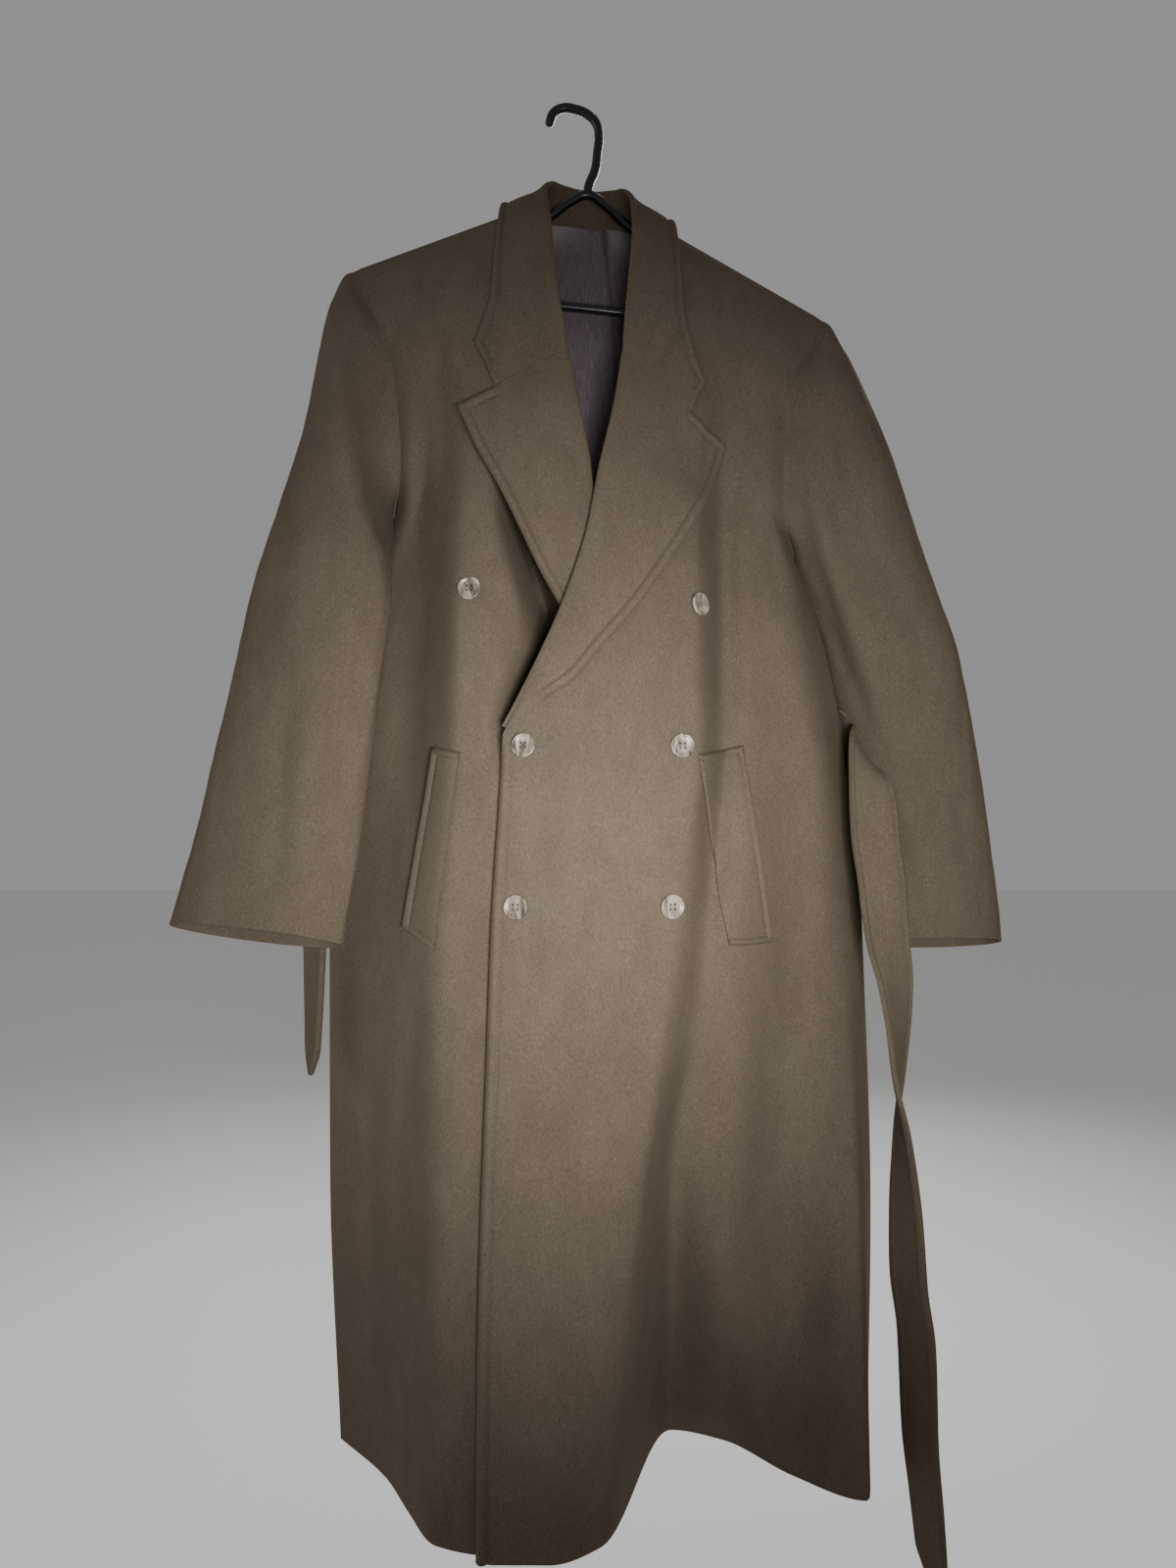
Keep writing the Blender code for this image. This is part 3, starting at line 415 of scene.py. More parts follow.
def front_grid(depth, edge, sign, count, swelled_edge):
    """Points of a front from the hem up, each row from the inner edge to the side seam."""
    heights = [e[0] for e in edge]
    inner = [e[1] for e in edge]
    low = np.linspace(HEM, ARMHOLE_TOP, 150)
    up = 1 - (1 - np.linspace(0.0, 1.0, 31)[1:]) ** 1.8
    tip = float(ridge(TIP_X)) - SEAM_DROP
    neck = float(ridge(NECK_X)) - SEAM_DROP
    outer_z = np.concatenate([low, ARMHOLE_TOP + (tip - ARMHOLE_TOP) * up])
    inner_z = np.concatenate([low, ARMHOLE_TOP + (neck - ARMHOLE_TOP) * up])
    outer_x = side(outer_z, sign)
    inner_x = smooth(heights, inner, inner_z)
    gap = spaced(np.abs(outer_x - inner_x), EDGE_STEPS, count)
    share = gap / gap[:, -1:]
    x = inner_x[:, None] + (outer_x - inner_x)[:, None] * share
    z = inner_z[:, None] + (outer_z - inner_z)[:, None] * share
    top = np.concatenate([np.zeros(len(low)), up])[:, None]
    z = z + top * (ridge(x) - SEAM_DROP - neck - (tip - neck) * share)
    y = -depth(x, z)
    if swelled_edge:
        y = y - swelled(gap) * (1 - ease(0.030, 0.044, z))
    grid = np.stack([x, y, z], axis=-1)
    last = ease(0.8, 1.0, top)
    tuck = np.concatenate([-0.0012 * sign * (1 - last), 0.008 * (1 - last), -0.0025 * last], axis=-1)
    grid = np.concatenate([grid, (grid[:, -1] + tuck)[:, None]], axis=1)
    return np.concatenate([grid, grid[-1:] + (0.0, 0.006, -0.003)])


def cloth(name, node, grid, wall, stuff, ring=False, turned=False):
    """A cloth piece in place of a solid, its outside on a grid of points and its wall inwards."""
    rows, columns = grid.shape[:2]
    index = np.arange(rows * columns).reshape(rows, columns)
    if ring:
        index = np.concatenate([index, index[:, :1]], axis=1)
    faces = np.stack([index[:-1, :-1], index[:-1, 1:], index[1:, 1:], index[1:, :-1]], axis=-1)
    faces = faces.reshape(-1, 4)
    if turned:
        faces = faces[:, ::-1]
    mesh = bpy.data.meshes.new(name)
    mesh.from_pydata(placed(grid).reshape(-1, 3).tolist(), [], faces.tolist())
    sheet = linked(name, mesh)
    shell = sheet.modifiers.new("wall", "SOLIDIFY")
    shell.thickness = wall
    shell.offset = -1.0
    walled = plain_mesh(sheet)
    bpy.data.meshes.remove(mesh)
    walled.name = name
    piece = shown(name, walled, stuff)
    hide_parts(node)
    return piece


# Wool melton: woven, fulled and brushed until the weave closes under a short matted nap.
# The eye gets a dull felt with fine flecks, soft clouds where the nap lies differently, and
# a weak sheen. The nap's fibres are drawn 1.4 mm apart, coarser than life, so that they show.
melton, tree, shader = finish_named(
    "fulled_wool_melton_olive",
    {
        "Roughness": 0.92,
        "Specular IOR Level": 0.06,
        "Sheen Weight": 0.07,
        "Sheen Roughness": 0.45,
        "Sheen Tint": linear("#a69a7c"),
    },
)
spot = object_place(tree)
lying = add(tree, "ShaderNodeMapping", {"Scale": (1.0, 1.0, 0.5)}, {"Vector": spot}).outputs["Vector"]
fleck = noise(tree, lying, 0.0014, Detail=4.0, Roughness=0.65)
cloud = noise(tree, lying, 0.034, Detail=4.0, Roughness=0.6, Distortion=0.6)
part_fleck = add(tree, "ShaderNodeMath", {"operation": "MULTIPLY", 1: 0.75}, {0: fleck})
blend = add(
    tree,
    "ShaderNodeMath",
    {"operation": "MULTIPLY_ADD", 1: 0.25},
    {0: cloud, 2: part_fleck.outputs["Value"]},
)
coloured(tree, shader, blend.outputs["Value"], ((0.34, "#4a4236"), (0.50, "#554c3f"), (0.66, "#605749")))
bumped(tree, shader, fleck, 0.25, 0.0006)

over_grid = front_grid(over_depth, OVER_EDGE, 1, 88, True)
under_grid = front_grid(hollowed_depth, UNDER_EDGE, -1, 78, False)
front_left = cloth("over_front_panel", "front_left", over_grid, WALL, melton)
front_right = cloth("under_front_panel", "front_right", under_grid, WALL, melton, turned=True)

# Sewing: silk twist in the colour of the cloth. Prick stitches lie in the groove inside
# every swelled edge, and each buttonhole is worked with close purl knots round its slit.
STITCH = {"spacing": 0.0044, "length": 0.0029, "thick": 0.00085}
PURL = {"spacing": 0.00085, "length": 0.0010, "thick": 0.0010}

# Silk twist: a tight two-ply thread with a low shine, mottled finely where its plies cross
twist, tree, shader = finish_named(
    "silk_twist_olive", {"Roughness": 0.55, "Sheen Weight": 0.2, "Sheen Roughness": 0.4}
)
plies = noise(tree, object_place(tree), 0.0007, Detail=2.0)
coloured(tree, shader, plies, ((0.35, "#3a3428"), (0.65, "#575041")))

stitch_tree = bpy.data.node_groups.new("stitches_along_lines", "GeometryNodeTree")
stitch_inputs = {}
stitch_tree.interface.new_socket("Lines", in_out="INPUT", socket_type="NodeSocketGeometry")
for label in ("spacing", "length", "thick"):
    socket = stitch_tree.interface.new_socket(label, in_out="INPUT", socket_type="NodeSocketFloat")
    stitch_inputs[label] = socket.identifier
stitch_tree.interface.new_socket("Stitches", in_out="OUTPUT", socket_type="NodeSocketGeometry")
given = add(stitch_tree, "NodeGroupInput")
lines = add(stitch_tree, "GeometryNodeMeshToCurve", None, {"Mesh": given.outputs["Lines"]})
points = add(
    stitch_tree,
    "GeometryNodeCurveToPoints",
    {"mode": "LENGTH"},
    {"Curve": lines.outputs["Curve"], "Length": given.outputs["spacing"]},
)
bead = add(stitch_tree, "GeometryNodeMeshUVSphere", {"Segments": 6, "Rings": 4, "Radius": 0.5})
stretch = add(
    stitch_tree,
    "ShaderNodeCombineXYZ",
    None,
    {"X": given.outputs["thick"], "Y": given.outputs["thick"], "Z": given.outputs["length"]},
)
laid = add(
    stitch_tree,
    "GeometryNodeInstanceOnPoints",
    None,
    {
        "Points": points.outputs["Points"],
        "Instance": bead.outputs["Mesh"],
        "Rotation": points.outputs["Rotation"],
        "Scale": stretch.outputs["Vector"],
    },
)
real = add(stitch_tree, "GeometryNodeRealizeInstances", None, {"Geometry": laid.outputs["Instances"]})
dyed = add(
    stitch_tree, "GeometryNodeSetMaterial", {"Material": twist}, {"Geometry": real.outputs["Geometry"]}
)
add(stitch_tree, "NodeGroupOutput", None, {"Stitches": dyed.outputs["Geometry"]})


def stitched(name, runs, sizes):
    """Stitches along runs of points, as one plain mesh piece."""
    points = [p for run in runs for p in run]
    edges = []
    for run in runs:
        first = edges[-1][1] + 1 if edges else 0
        edges += [(first + i, first + i + 1) for i in range(len(run) - 1)]
    mesh = bpy.data.meshes.new(name)
    mesh.from_pydata(points, edges, [])
    line = linked(name + "_line", mesh)
    sewing = line.modifiers.new("stitches", "NODES")
    sewing.node_group = stitch_tree
    for label, value in sizes.items():
        sewing[stitch_inputs[label]] = value
    sewn = plain_mesh(line)
    sewn.name = name
    piece = shown(name, sewn, twist)
    return piece


def buttonhole(middle, length, slope, height):
    """Points round a buttonhole's slit, on the cloth whose forward depth height gives."""
    around = []
    for i in range(61):
        angle = 2 * math.pi * i / 60
        long = (length / 2 - 0.001) * np.clip(1.6 * math.cos(angle), -1, 1)
        wide = 0.00085 * np.clip(1.6 * math.sin(angle), -1, 1)
        x = middle[0] + long * math.cos(slope) - wide * math.sin(slope)
        z = middle[1] + long * math.sin(slope) + wide * math.cos(slope)
        around.append((x, -float(height(x, z)) - 0.0002, z))
    return placed(around)


line_at = EDGE_STEPS.index(STITCH_INSET)
below_lapel = over_grid[:, line_at, 2] < 0.034
front_stitches = stitched("over_front_stitches", [placed(over_grid[below_lapel][2:, line_at])], STITCH)
front_slits = [
    buttonhole((-0.0525, 0.0345), 0.027, 0.0, over_depth),
    buttonhole((-0.0555, -0.1135), 0.030, 0.0, over_depth),
]
front_holes = stitched("front_buttonholes", front_slits, PURL)

# Back: one plain panel of the same melton, from the hem over the top of the shoulders.
# It is drawn forward to the side seams and falls in long easy folds from the blades.
BACK_DEPTH = 0.034
BACK_ROUND = 0.06
SIDE_ROUND = 0.05
BACK_CREASES = (
    (((-0.150, 0.420), (-0.120, 0.250), (-0.110, 0.060)), 0.020, -0.0040),
    (((0.140, 0.430), (0.118, 0.240), (0.100, 0.050)), 0.018, -0.0038),
    (((-0.060, 0.470), (-0.050, 0.260), (-0.070, 0.080)), 0.020, 0.0030),
    (((0.030, 0.480), (0.045, 0.300), (0.040, 0.090)), 0.018, -0.0024),
    (((-0.180, 0.000), (-0.170, -0.300), (-0.185, -0.640)), 0.016, -0.0050),
    (((-0.120, -0.030), (-0.105, -0.330), (-0.115, -0.660)), 0.018, 0.0050),
    (((-0.040, 0.000), (-0.050, -0.320), (-0.035, -0.660)), 0.019, -0.0050),
    (((0.030, -0.020), (0.028, -0.340), (0.040, -0.660)), 0.017, 0.0046),
    (((0.105, 0.000), (0.112, -0.310), (0.100, -0.660)), 0.019, -0.0050),
    (((0.180, -0.020), (0.185, -0.320), (0.195, -0.640)), 0.016, 0.0044),
    (((-0.200, 0.075), (-0.100, 0.066), (-0.020, 0.074)), 0.010, 0.0022),
    (((0.200, 0.075), (0.110, 0.067), (0.030, 0.072)), 0.009, 0.0020),
)


def back_depth(x, z):
    """How far behind the hanger the back is, drawn forward to the side seams."""
    x, z = np.broadcast_arrays(np.asarray(x, float), np.asarray(z, float))
    right = x > 0
    edge = np.where(right, side(z, 1), -side(z, -1))
    seam = 0.008 - np.where(right, smooth(HEIGHTS, FORWARD[-1], z), smooth(HEIGHTS, FORWARD[0], z))
    depth = BACK_DEPTH * rise((ridge(x) - z) / BACK_ROUND)
    turn = 1 - rise((edge - np.abs(x)) / SIDE_ROUND)
    depth = depth + (seam - depth) * turn * (1 - ease(UNDERARM, 0.31, z))
    belted = 1 - 0.85 * np.exp(-(((z - 0.040) / 0.034) ** 4))
    fade = ease(0.0, 0.04, edge - np.abs(x)) * ease(0.03, 0.10, ridge(x) - z) * belted
    return depth + fade * (creases(BACK_CREASES, x, z) + 0.0014 * waver(x + 0.4, z - 0.2))


def back_grid():
    """Points of the back from the hem up, each row from the right side seam to the left one."""
    half = np.concatenate([np.linspace(0.0, 0.86, 37), np.linspace(0.88, 1.0, 10)])
    shares = np.concatenate([-half[:0:-1], half])
    low = np.linspace(HEM, ARMHOLE_TOP, 136)
    up = 1 - (1 - np.linspace(0.0, 1.0, 27)[1:]) ** 1.8
    over = np.linspace(0.0, math.pi / 2, 9)[1:]
    edge_z = np.concatenate([low, ARMHOLE_TOP + (ridge(TIP_X) - ARMHOLE_TOP) * up])[:, None]
    x = np.abs(shares) * np.where(shares > 0, side(edge_z, 1), side(edge_z, -1))
    end_x = shares * TIP_X
    outside = ease(0.25, 0.36, np.abs(shares))
    neck = ridge(NECK_X) - SEAM_DROP + 0.016 * (1 - np.minimum(1.0, (end_x / NECK_X) ** 2))
    top = (neck - 0.006) * (1 - outside) + ridge(end_x) * outside
    rising = np.concatenate([0 * low, up])[:, None]
    z = np.minimum(edge_z, ARMHOLE_TOP) + rising * (top - ARMHOLE_TOP)
    body = np.stack([x, back_depth(x, z), z], axis=-1)
    ridge_y = (SEAM_FORWARD - 2 * SEAM) * np.sin(over)[:, None]
    ridge_z = (SEAM_DROP - SEAM) * (1 - np.cos(over))[:, None]
    inner_z = 0.006 * (over / over[-1])[:, None]
    y = body[-1, :, 1] - outside * ridge_y
    z = body[-1, :, 2] + (1 - outside) * inner_z - outside * ridge_z
    shoulder = np.stack([np.broadcast_to(body[-1, :, 0], y.shape), y, z], axis=-1)
    grid = np.concatenate([body, shoulder])
    last = np.concatenate([rising[:, 0], np.ones(len(over))])
    last = ease(0.8, 1.0, last)[:, None]
    tuck = np.concatenate([0 * last, -0.0037 * (1 - last), -0.0025 * last], axis=-1)
    return np.concatenate([(grid[:, 0] + tuck)[:, None], grid, (grid[:, -1] + tuck)[:, None]], axis=1)


back = cloth("back_panel", "back", back_grid(), WALL, melton, turned=True)

# Sleeves: set-in sleeves of the same melton, joined to the armholes and open at the cuff.
# They hang a little forward of the side, with pull lines from the armhole and the elbow.
ARMHOLE_SEAM = 0.0012
CUFF_LIFT = 0.010
ARMHOLE_ROWS = (UNDERARM, 0.265, 0.285, 0.31, 0.34, 0.37, 0.40, 0.43)
UNDER_SLEEVE = (
    (-0.262, 0.000, 0.500, -0.199, -0.010, 0.243, 0.055, 0.5),
    (-0.268, 0.000, 0.474, -0.199, -0.022, 0.236, 0.056, 0.9),
    (-0.277, -0.003, 0.424, -0.1985, -0.045, 0.222, 0.056, 1.0),
    (-0.2895, -0.012, 0.347, -0.194, -0.070, 0.203, 0.051, 1.0),
    (-0.314, -0.028, 0.251, -0.191, -0.086, 0.165, 0.045, 1.0),
    (-0.333, -0.042, 0.190, -0.195, -0.096, 0.120, 0.041, 1.0),
    (-0.352, -0.062, 0.096, -0.2025, -0.105, 0.055, 0.037, 1.0),
    (-0.367, -0.078, 0.020, -0.2085, -0.115, -0.005, 0.034, 1.0),
    (-0.3785, -0.092, -0.050, -0.2155, -0.125, -0.066, 0.030, 1.0),
    (-0.3885, -0.104, -0.098, -0.2215, -0.133, -0.110, 0.028, 1.0),
    (-0.397, -0.112, -0.134, -0.226, -0.140, -0.150, 0.026, 1.0),
)
OVER_SLEEVE = (
    (0.262, 0.000, 0.500, 0.2135, -0.006, 0.243, 0.055, 0.5),
    (0.269, 0.000, 0.476, 0.2150, -0.004, 0.238, 0.058, 0.9),
    (0.287, -0.004, 0.432, 0.2195, 0.000, 0.226, 0.060, 1.0),
    (0.311, -0.008, 0.3765, 0.2280, 0.002, 0.205, 0.057, 1.0),
    (0.342, -0.013, 0.280, 0.2415, 0.006, 0.165, 0.052, 1.0),
    (0.362, -0.017, 0.215, 0.2500, 0.009, 0.130, 0.050, 1.0),
    (0.378, -0.020, 0.155, 0.2565, 0.012, 0.096, 0.048, 1.0),
    (0.384, -0.0225, 0.115, 0.2630, 0.014, 0.066, 0.046, 1.0),
    (0.393, -0.026, 0.050, 0.2705, 0.014, 0.020, 0.044, 1.0),
    (0.404, -0.030, -0.030, 0.2790, -0.004, -0.045, 0.042, 1.0),
    (0.412, -0.033, -0.100, 0.2855, -0.031, -0.105, 0.040, 1.0),
    (0.418, -0.036, -0.160, 0.2865, -0.032, -0.162, 0.037, 1.0),
)
UNDER_SLEEVE_CREASES = (
    (((-0.201, 0.339), (-0.216, 0.159), (-0.235, 0.000)), 0.014, -0.0024),
    (((-0.256, 0.352), (-0.276, 0.180), (-0.301, 0.020)), 0.020, 0.0026),
    (((-0.241, 0.428), (-0.246, 0.360), (-0.239, 0.293)), 0.014, 0.0020),
    (((-0.280, 0.150), (-0.290, 0.037), (-0.289, -0.145)), 0.012, -0.0042),
    (((-0.262, 0.100), (-0.266, 0.000), (-0.262, -0.140)), 0.012, 0.0030),
    (((-0.199, 0.092), (-0.225, 0.074), (-0.250, 0.070)), 0.008, -0.0014),
)
OVER_SLEEVE_CREASES = (
    (((0.212, 0.348), (0.238, 0.262), (0.270, 0.165), (0.291, 0.100), (0.302, 0.010)), 0.011, 0.0085),
    (((0.214, 0.440), (0.240, 0.337), (0.276, 0.245), (0.314, 0.153), (0.345, 0.020)), 0.017, -0.0095),
    (((0.245, 0.468), (0.275, 0.402), (0.305, 0.315)), 0.014, 0.0040),
    (((0.236, 0.225), (0.256, 0.150), (0.268, 0.070)), 0.008, -0.0030),
    (((0.300, 0.030), (0.330, -0.060), (0.345, -0.150)), 0.014, 0.0030),
    (((0.350, 0.060), (0.372, -0.040), (0.380, -0.150)), 0.012, -0.0028),
)


def outward(grid, ring=False, turned=False):
    """The way out of the cloth at each point of a grid."""
    down = np.gradient(grid, axis=0)
    if ring:
        round_ = (np.roll(grid, -1, axis=1) - np.roll(grid, 1, axis=1)) / 2
    else:
        round_ = np.gradient(grid, axis=1)
    out = np.cross(round_, down)
    out /= np.maximum(np.linalg.norm(out, axis=-1, keepdims=True), 1e-12)
    return -out if turned else out


def sleeve_grid(depth, sign, table, crease_table, turned):
    """Rings of points from the armhole to the cuff, from the shoulder tip down the front."""
    tip = float(ridge(TIP_X)) - SEAM_DROP
    steps = [ARMHOLE_TOP + (tip - ARMHOLE_TOP) * s for s in (1 / 3, 2 / 3)]
    down_z = np.array([*steps[::-1], *ARMHOLE_ROWS[::-1]])
    up_z = np.array([*ARMHOLE_ROWS[1:], *steps])
    down_x = side(down_z, sign)
    up_x = side(up_z, sign)
    down = np.stack([down_x, -depth(down_x, down_z), down_z], axis=-1)
    up = np.stack([up_x, back_depth(up_x, up_z), up_z], axis=-1)
    first = [[sign * TIP_X, -SEAM_FORWARD, tip]]
    last = [[sign * TIP_X, 0.0, float(ridge(TIP_X))]]
    loop = np.concatenate([first, down, up, last]) + np.array([sign * ARMHOLE_SEAM, 0.0, 0.0])
    turns = [math.pi * i / len(down) for i in range(len(down) + 1)]
    turns += [math.pi * (1 + (i + 1) / (len(up) + 2)) for i in range(len(up) + 1)]
    turns = np.array(turns)
    places = np.concatenate([turns[-3:] - 2 * math.pi, turns, turns[:3] + 2 * math.pi])
    closed = np.concatenate([loop[-3:], loop, loop[:3]])
    turn = np.linspace(0.0, 2 * math.pi, 85)[:-1]
    armhole = np.stack([smooth(places, closed[:, k], turn) for k in range(3)], axis=-1)
    rings = [armhole]
    for row in table:
        outer = np.array(row[0:3])
        inner = np.array(row[3:6])
        tilt = CUFF_LIFT * (1 - float(ease(-0.14, 0.05, outer[2])))
        ring = (outer + inner) / 2 + np.outer(np.cos(turn), (outer - inner) / 2)
        ring = ring + np.outer(np.sin(turn), (0.0, -row[6], tilt))
        rings.append(armhole + (ring - armhole) * row[7])
    rings = np.array(rings)
    steps = np.linalg.norm(np.diff(rings.mean(axis=1), axis=0), axis=-1) + 0.004
    lengths = np.concatenate([[0.0], np.cumsum(steps)])
    fine = np.concatenate([np.linspace(0.0, 0.05, 14)[:-1], np.linspace(0.05, lengths[-1], 120)])
    grid = smooth(lengths, np.moveaxis(rings, 0, -1)[None], np.broadcast_to(
        fine[:, None, None], (len(fine), len(turn), 3)))
    facing = np.sin(turn)[None]
    x = grid[..., 0]
    z = grid[..., 2]
    front = np.clip(facing, 0.0, 1.0) ** 0.6
    rear = np.clip(-facing, 0.0, 1.0) ** 0.6
    moved = creases(crease_table, x, z) * front
    moved = moved + creases(crease_table, x + sign * 0.012, z + 0.03) * rear
    moved = moved + 0.0009 * waver(x * 1.3 + 0.2, z * 1.2 + 0.5 * facing)
    fade = ease(0.01, 0.06, fine) * (1 - 0.6 * ease(lengths[-1] - 0.03, lengths[-1], fine))
    head = 0.0016 * np.exp(-(((fine - 0.014) / 0.008) ** 2))[:, None] * np.clip(np.cos(turn), 0, 1)[None]
    grid = grid + outward(grid, True, turned) * (moved * fade[:, None] + head)[..., None]
    allowance = (grid[:1] - armhole.mean(axis=0)) * (1.0, 0.93, 0.97) + armhole.mean(axis=0)
    return np.concatenate([allowance - np.array([sign * 0.012, 0.0, 0.0]), grid])


under_sleeve = sleeve_grid(under_depth, -1, UNDER_SLEEVE, UNDER_SLEEVE_CREASES, True)
over_sleeve = sleeve_grid(over_depth, 1, OVER_SLEEVE, OVER_SLEEVE_CREASES, False)
sleeve_right = cloth(
    "under_side_sleeve", "sleeve_right", under_sleeve, WALL, melton, ring=True, turned=True
)
sleeve_left = cloth("over_side_sleeve", "sleeve_left", over_sleeve, WALL, melton, ring=True)

# Lapels: the tops of the front facings, turned back along the roll line and pressed.
# The outer edge is swelled, with a line of prick stitches 10 mm inside it.
LAPEL_WALL = 0.003
LAPEL_RISE = 0.0062
PEAK_LIFT = 0.021
NOTCH_SHARE = 0.36
OVER_ROLL = (
    (0.0351, 0.421), (0.0274, 0.3693), (0.0121, 0.297), (0.0, 0.2325), (-0.0091, 0.2015),
    (-0.0236, 0.160), (-0.0467, 0.108), (-0.0690, 0.064), (-0.0758, 0.0515),
)
OVER_OUTER = (
    (0.1347, 0.3403), (0.1203, 0.2947), (0.1016, 0.257), (0.072, 0.2055), (0.0439, 0.1635),
    (0.0118, 0.1246), (-0.0108, 0.0968), (-0.0500, 0.0690), (-0.0722, 0.0500),
)
UNDER_ROLL = (
    (-0.0218, 0.4179), (-0.0094, 0.3544), (0.0, 0.3075), (0.0028, 0.2823), (0.012, 0.235),
    (0.024, 0.185),
)
UNDER_OUTER = (
    (-0.1242, 0.3465), (-0.1186, 0.334), (-0.1067, 0.3089), (-0.0824, 0.268), (-0.064, 0.2335),
    (-0.0452, 0.197), (-0.0238, 0.1612), (-0.006, 0.132),
)
# Round the roll: how far past it and how far out of the front
ROLL_LIP = (
    (0.0, 0.0068), (0.0015, 0.0063), (0.0025, 0.0053), (0.0031, 0.0039), (0.0034, 0.0020),
    (0.0033, -0.0008),
)


def along(points, share):
    """Points at these shares of a line's length, on a smooth curve."""
    points = np.asarray(points, float)
    lengths = np.concatenate([[0.0], np.cumsum(np.linalg.norm(np.diff(points, axis=0), axis=-1))])
    return np.stack([smooth(lengths, c, share * lengths[-1]) for c in points.T], axis=-1)


def softly_larger(a, b):
    """The larger of two depths, rounded over where they cross."""
    return np.logaddexp(a / 0.0015, b / 0.0015) * 0.0015


def lapel_grid(depth, roll_line, outer_line):
    """Rows from the top of a lapel down, from the outer edge round the roll, and gaps to that edge."""
    size = np.linalg.norm(np.diff(np.array(outer_line), axis=0), axis=-1).sum()
    down = spaced(size, EDGE_STEPS, 84)
    share = down / size
    roll = along(roll_line, share)
    outer = along(outer_line, share)
    width = np.linalg.norm(roll - outer, axis=-1)
    gap = spaced(width, EDGE_STEPS, 34)
    part = gap / width[:, None]
    x = outer[:, :1] + (roll - outer)[:, :1] * part
    z = outer[:, 1:] + (roll - outer)[:, 1:] * part
    lift = PEAK_LIFT * (1 - ease(0.1, 0.85, share))
    at_outer = (depth(outer[:, 0], outer[:, 1]) + lift)[:, None]
    at_roll = depth(roll[:, 0], roll[:, 1])[:, None]
    straight = at_outer * (1 - part) + at_roll * part
    puff = 0.0022 * np.sin(math.pi * part) * ease(0.0, 0.2, share)[:, None]
    taper = 1 - 0.75 * ease(0.86, 1.0, share)
    y = -softly_larger(depth(x, z), straight) - LAPEL_RISE * taper[:, None] - puff
    free = part < NOTCH_SHARE
    nearest = np.minimum(gap, np.where(free, down[:, None], 1.0))
    y = y - swelled(nearest) * ease(0.012, 0.030, width)[:, None]
    grid = np.stack([x, y, z], axis=-1)
    run = (roll - outer) / width[:, None]
    round_ = []
    for move, height in ROLL_LIP:
        forward = -at_roll[:, 0] - height * taper
        round_.append(np.stack([roll[:, 0] + run[:, 0] * move, forward, roll[:, 1] + run[:, 1] * move], -1))
    return np.concatenate([grid[:, :-1], np.stack(round_, axis=1)], axis=1), gap


over_lapel, over_gap = lapel_grid(over_depth, OVER_ROLL, OVER_OUTER)
under_lapel, under_gap = lapel_grid(under_depth, UNDER_ROLL, UNDER_OUTER)
lapel_left = cloth("over_lapel", "lapel_left", over_lapel, LAPEL_WALL, melton)
lapel_right = cloth("under_lapel", "lapel_right", under_lapel, LAPEL_WALL, melton, turned=True)


def lapel_runs(grid, gap):
    """The lines of stitches inside a lapel's outer edge and its top edge."""
    wide = gap[:, line_at] > 0.0099
    top = gap[line_at] < NOTCH_SHARE * gap[line_at, -1]
    outer = grid[line_at:, line_at][wide[line_at:]]
    return [placed(outer), placed(grid[line_at, : len(top)][top][line_at:])]


def lapel_height(x, z):
    """How far forward the over-lapel is."""
    flat = over_lapel[:, : over_gap.shape[1] - 1].reshape(-1, 3)
    apart = (flat[:, 0] - x) ** 2 + (flat[:, 2] - z) ** 2
    near = np.argsort(apart)[:4]
    share = 1 / (apart[near] + 1e-9)
    return -float((flat[near, 1] * share).sum() / share.sum())


over_lapel_stitches = stitched("over_lapel_stitches", lapel_runs(over_lapel, over_gap), STITCH)
under_lapel_stitches = stitched("under_lapel_stitches", lapel_runs(under_lapel, under_gap), STITCH)
lapel_slit = buttonhole((0.1010, 0.3246), 0.016, math.radians(-39), lapel_height)
lapel_hole = stitched("lapel_buttonhole", [lapel_slit], PURL)

# Collar: one folded piece of melton, with a stand at the neck and a fall over it.
# Its ends meet the lapels at the gorge seams, and its free edge is swelled and stitched.
COLLAR_WALL = 0.0025
COLLAR_BACK = (
    ((0.0, 0.043, 0.553), (0.0, 0.036, 0.634), (0.0, 0.0272, 0.5912)),
    ((0.058, 0.039, 0.563), (0.034, 0.022, 0.633), (0.0455, 0.0185, 0.5885)),
    ((0.0915, -0.002, 0.592), (0.046, -0.008, 0.612), (0.0760, -0.0115, 0.5800)),
)
OVER_COLLAR = (
    (0.0944, 0.523, 0.0473, 0.565, 0.45),
    (0.0968, 0.4737, 0.0425, 0.500, 0.16),
    (0.1045, 0.435, 0.0385, 0.455, 0.05),
)
UNDER_COLLAR = (
    (-0.0944, 0.523, -0.0405, 0.568, 0.45),
    (-0.0968, 0.4737, -0.0352, 0.500, 0.16),
    (-0.1037, 0.4456, -0.0275, 0.452, 0.05),
)
OVER_COLLAR_POINT = (0.1167, 0.4026)
UNDER_COLLAR_POINT = (-0.1115, 0.4188)
STAND_RUN = np.array((0.034, 0.006, -0.034))


def folded(edge, fold, seam):
    """One section of the collar, from its outer edge over the fold to the neck seam."""
    edge = np.array(edge)
    fold = np.array(fold)
    seam = np.array(seam)
    out = (edge - fold) * (1, 1, 0)
    out = out / np.linalg.norm(out)
    outside = fold + out * 0.0038
    inside = fold - out * 0.0034
    row = [edge + (outside - edge) * j / 6 for j in range(7)]
    return row + [fold + (0, 0, 0.003), inside, (inside + seam) / 2, seam]


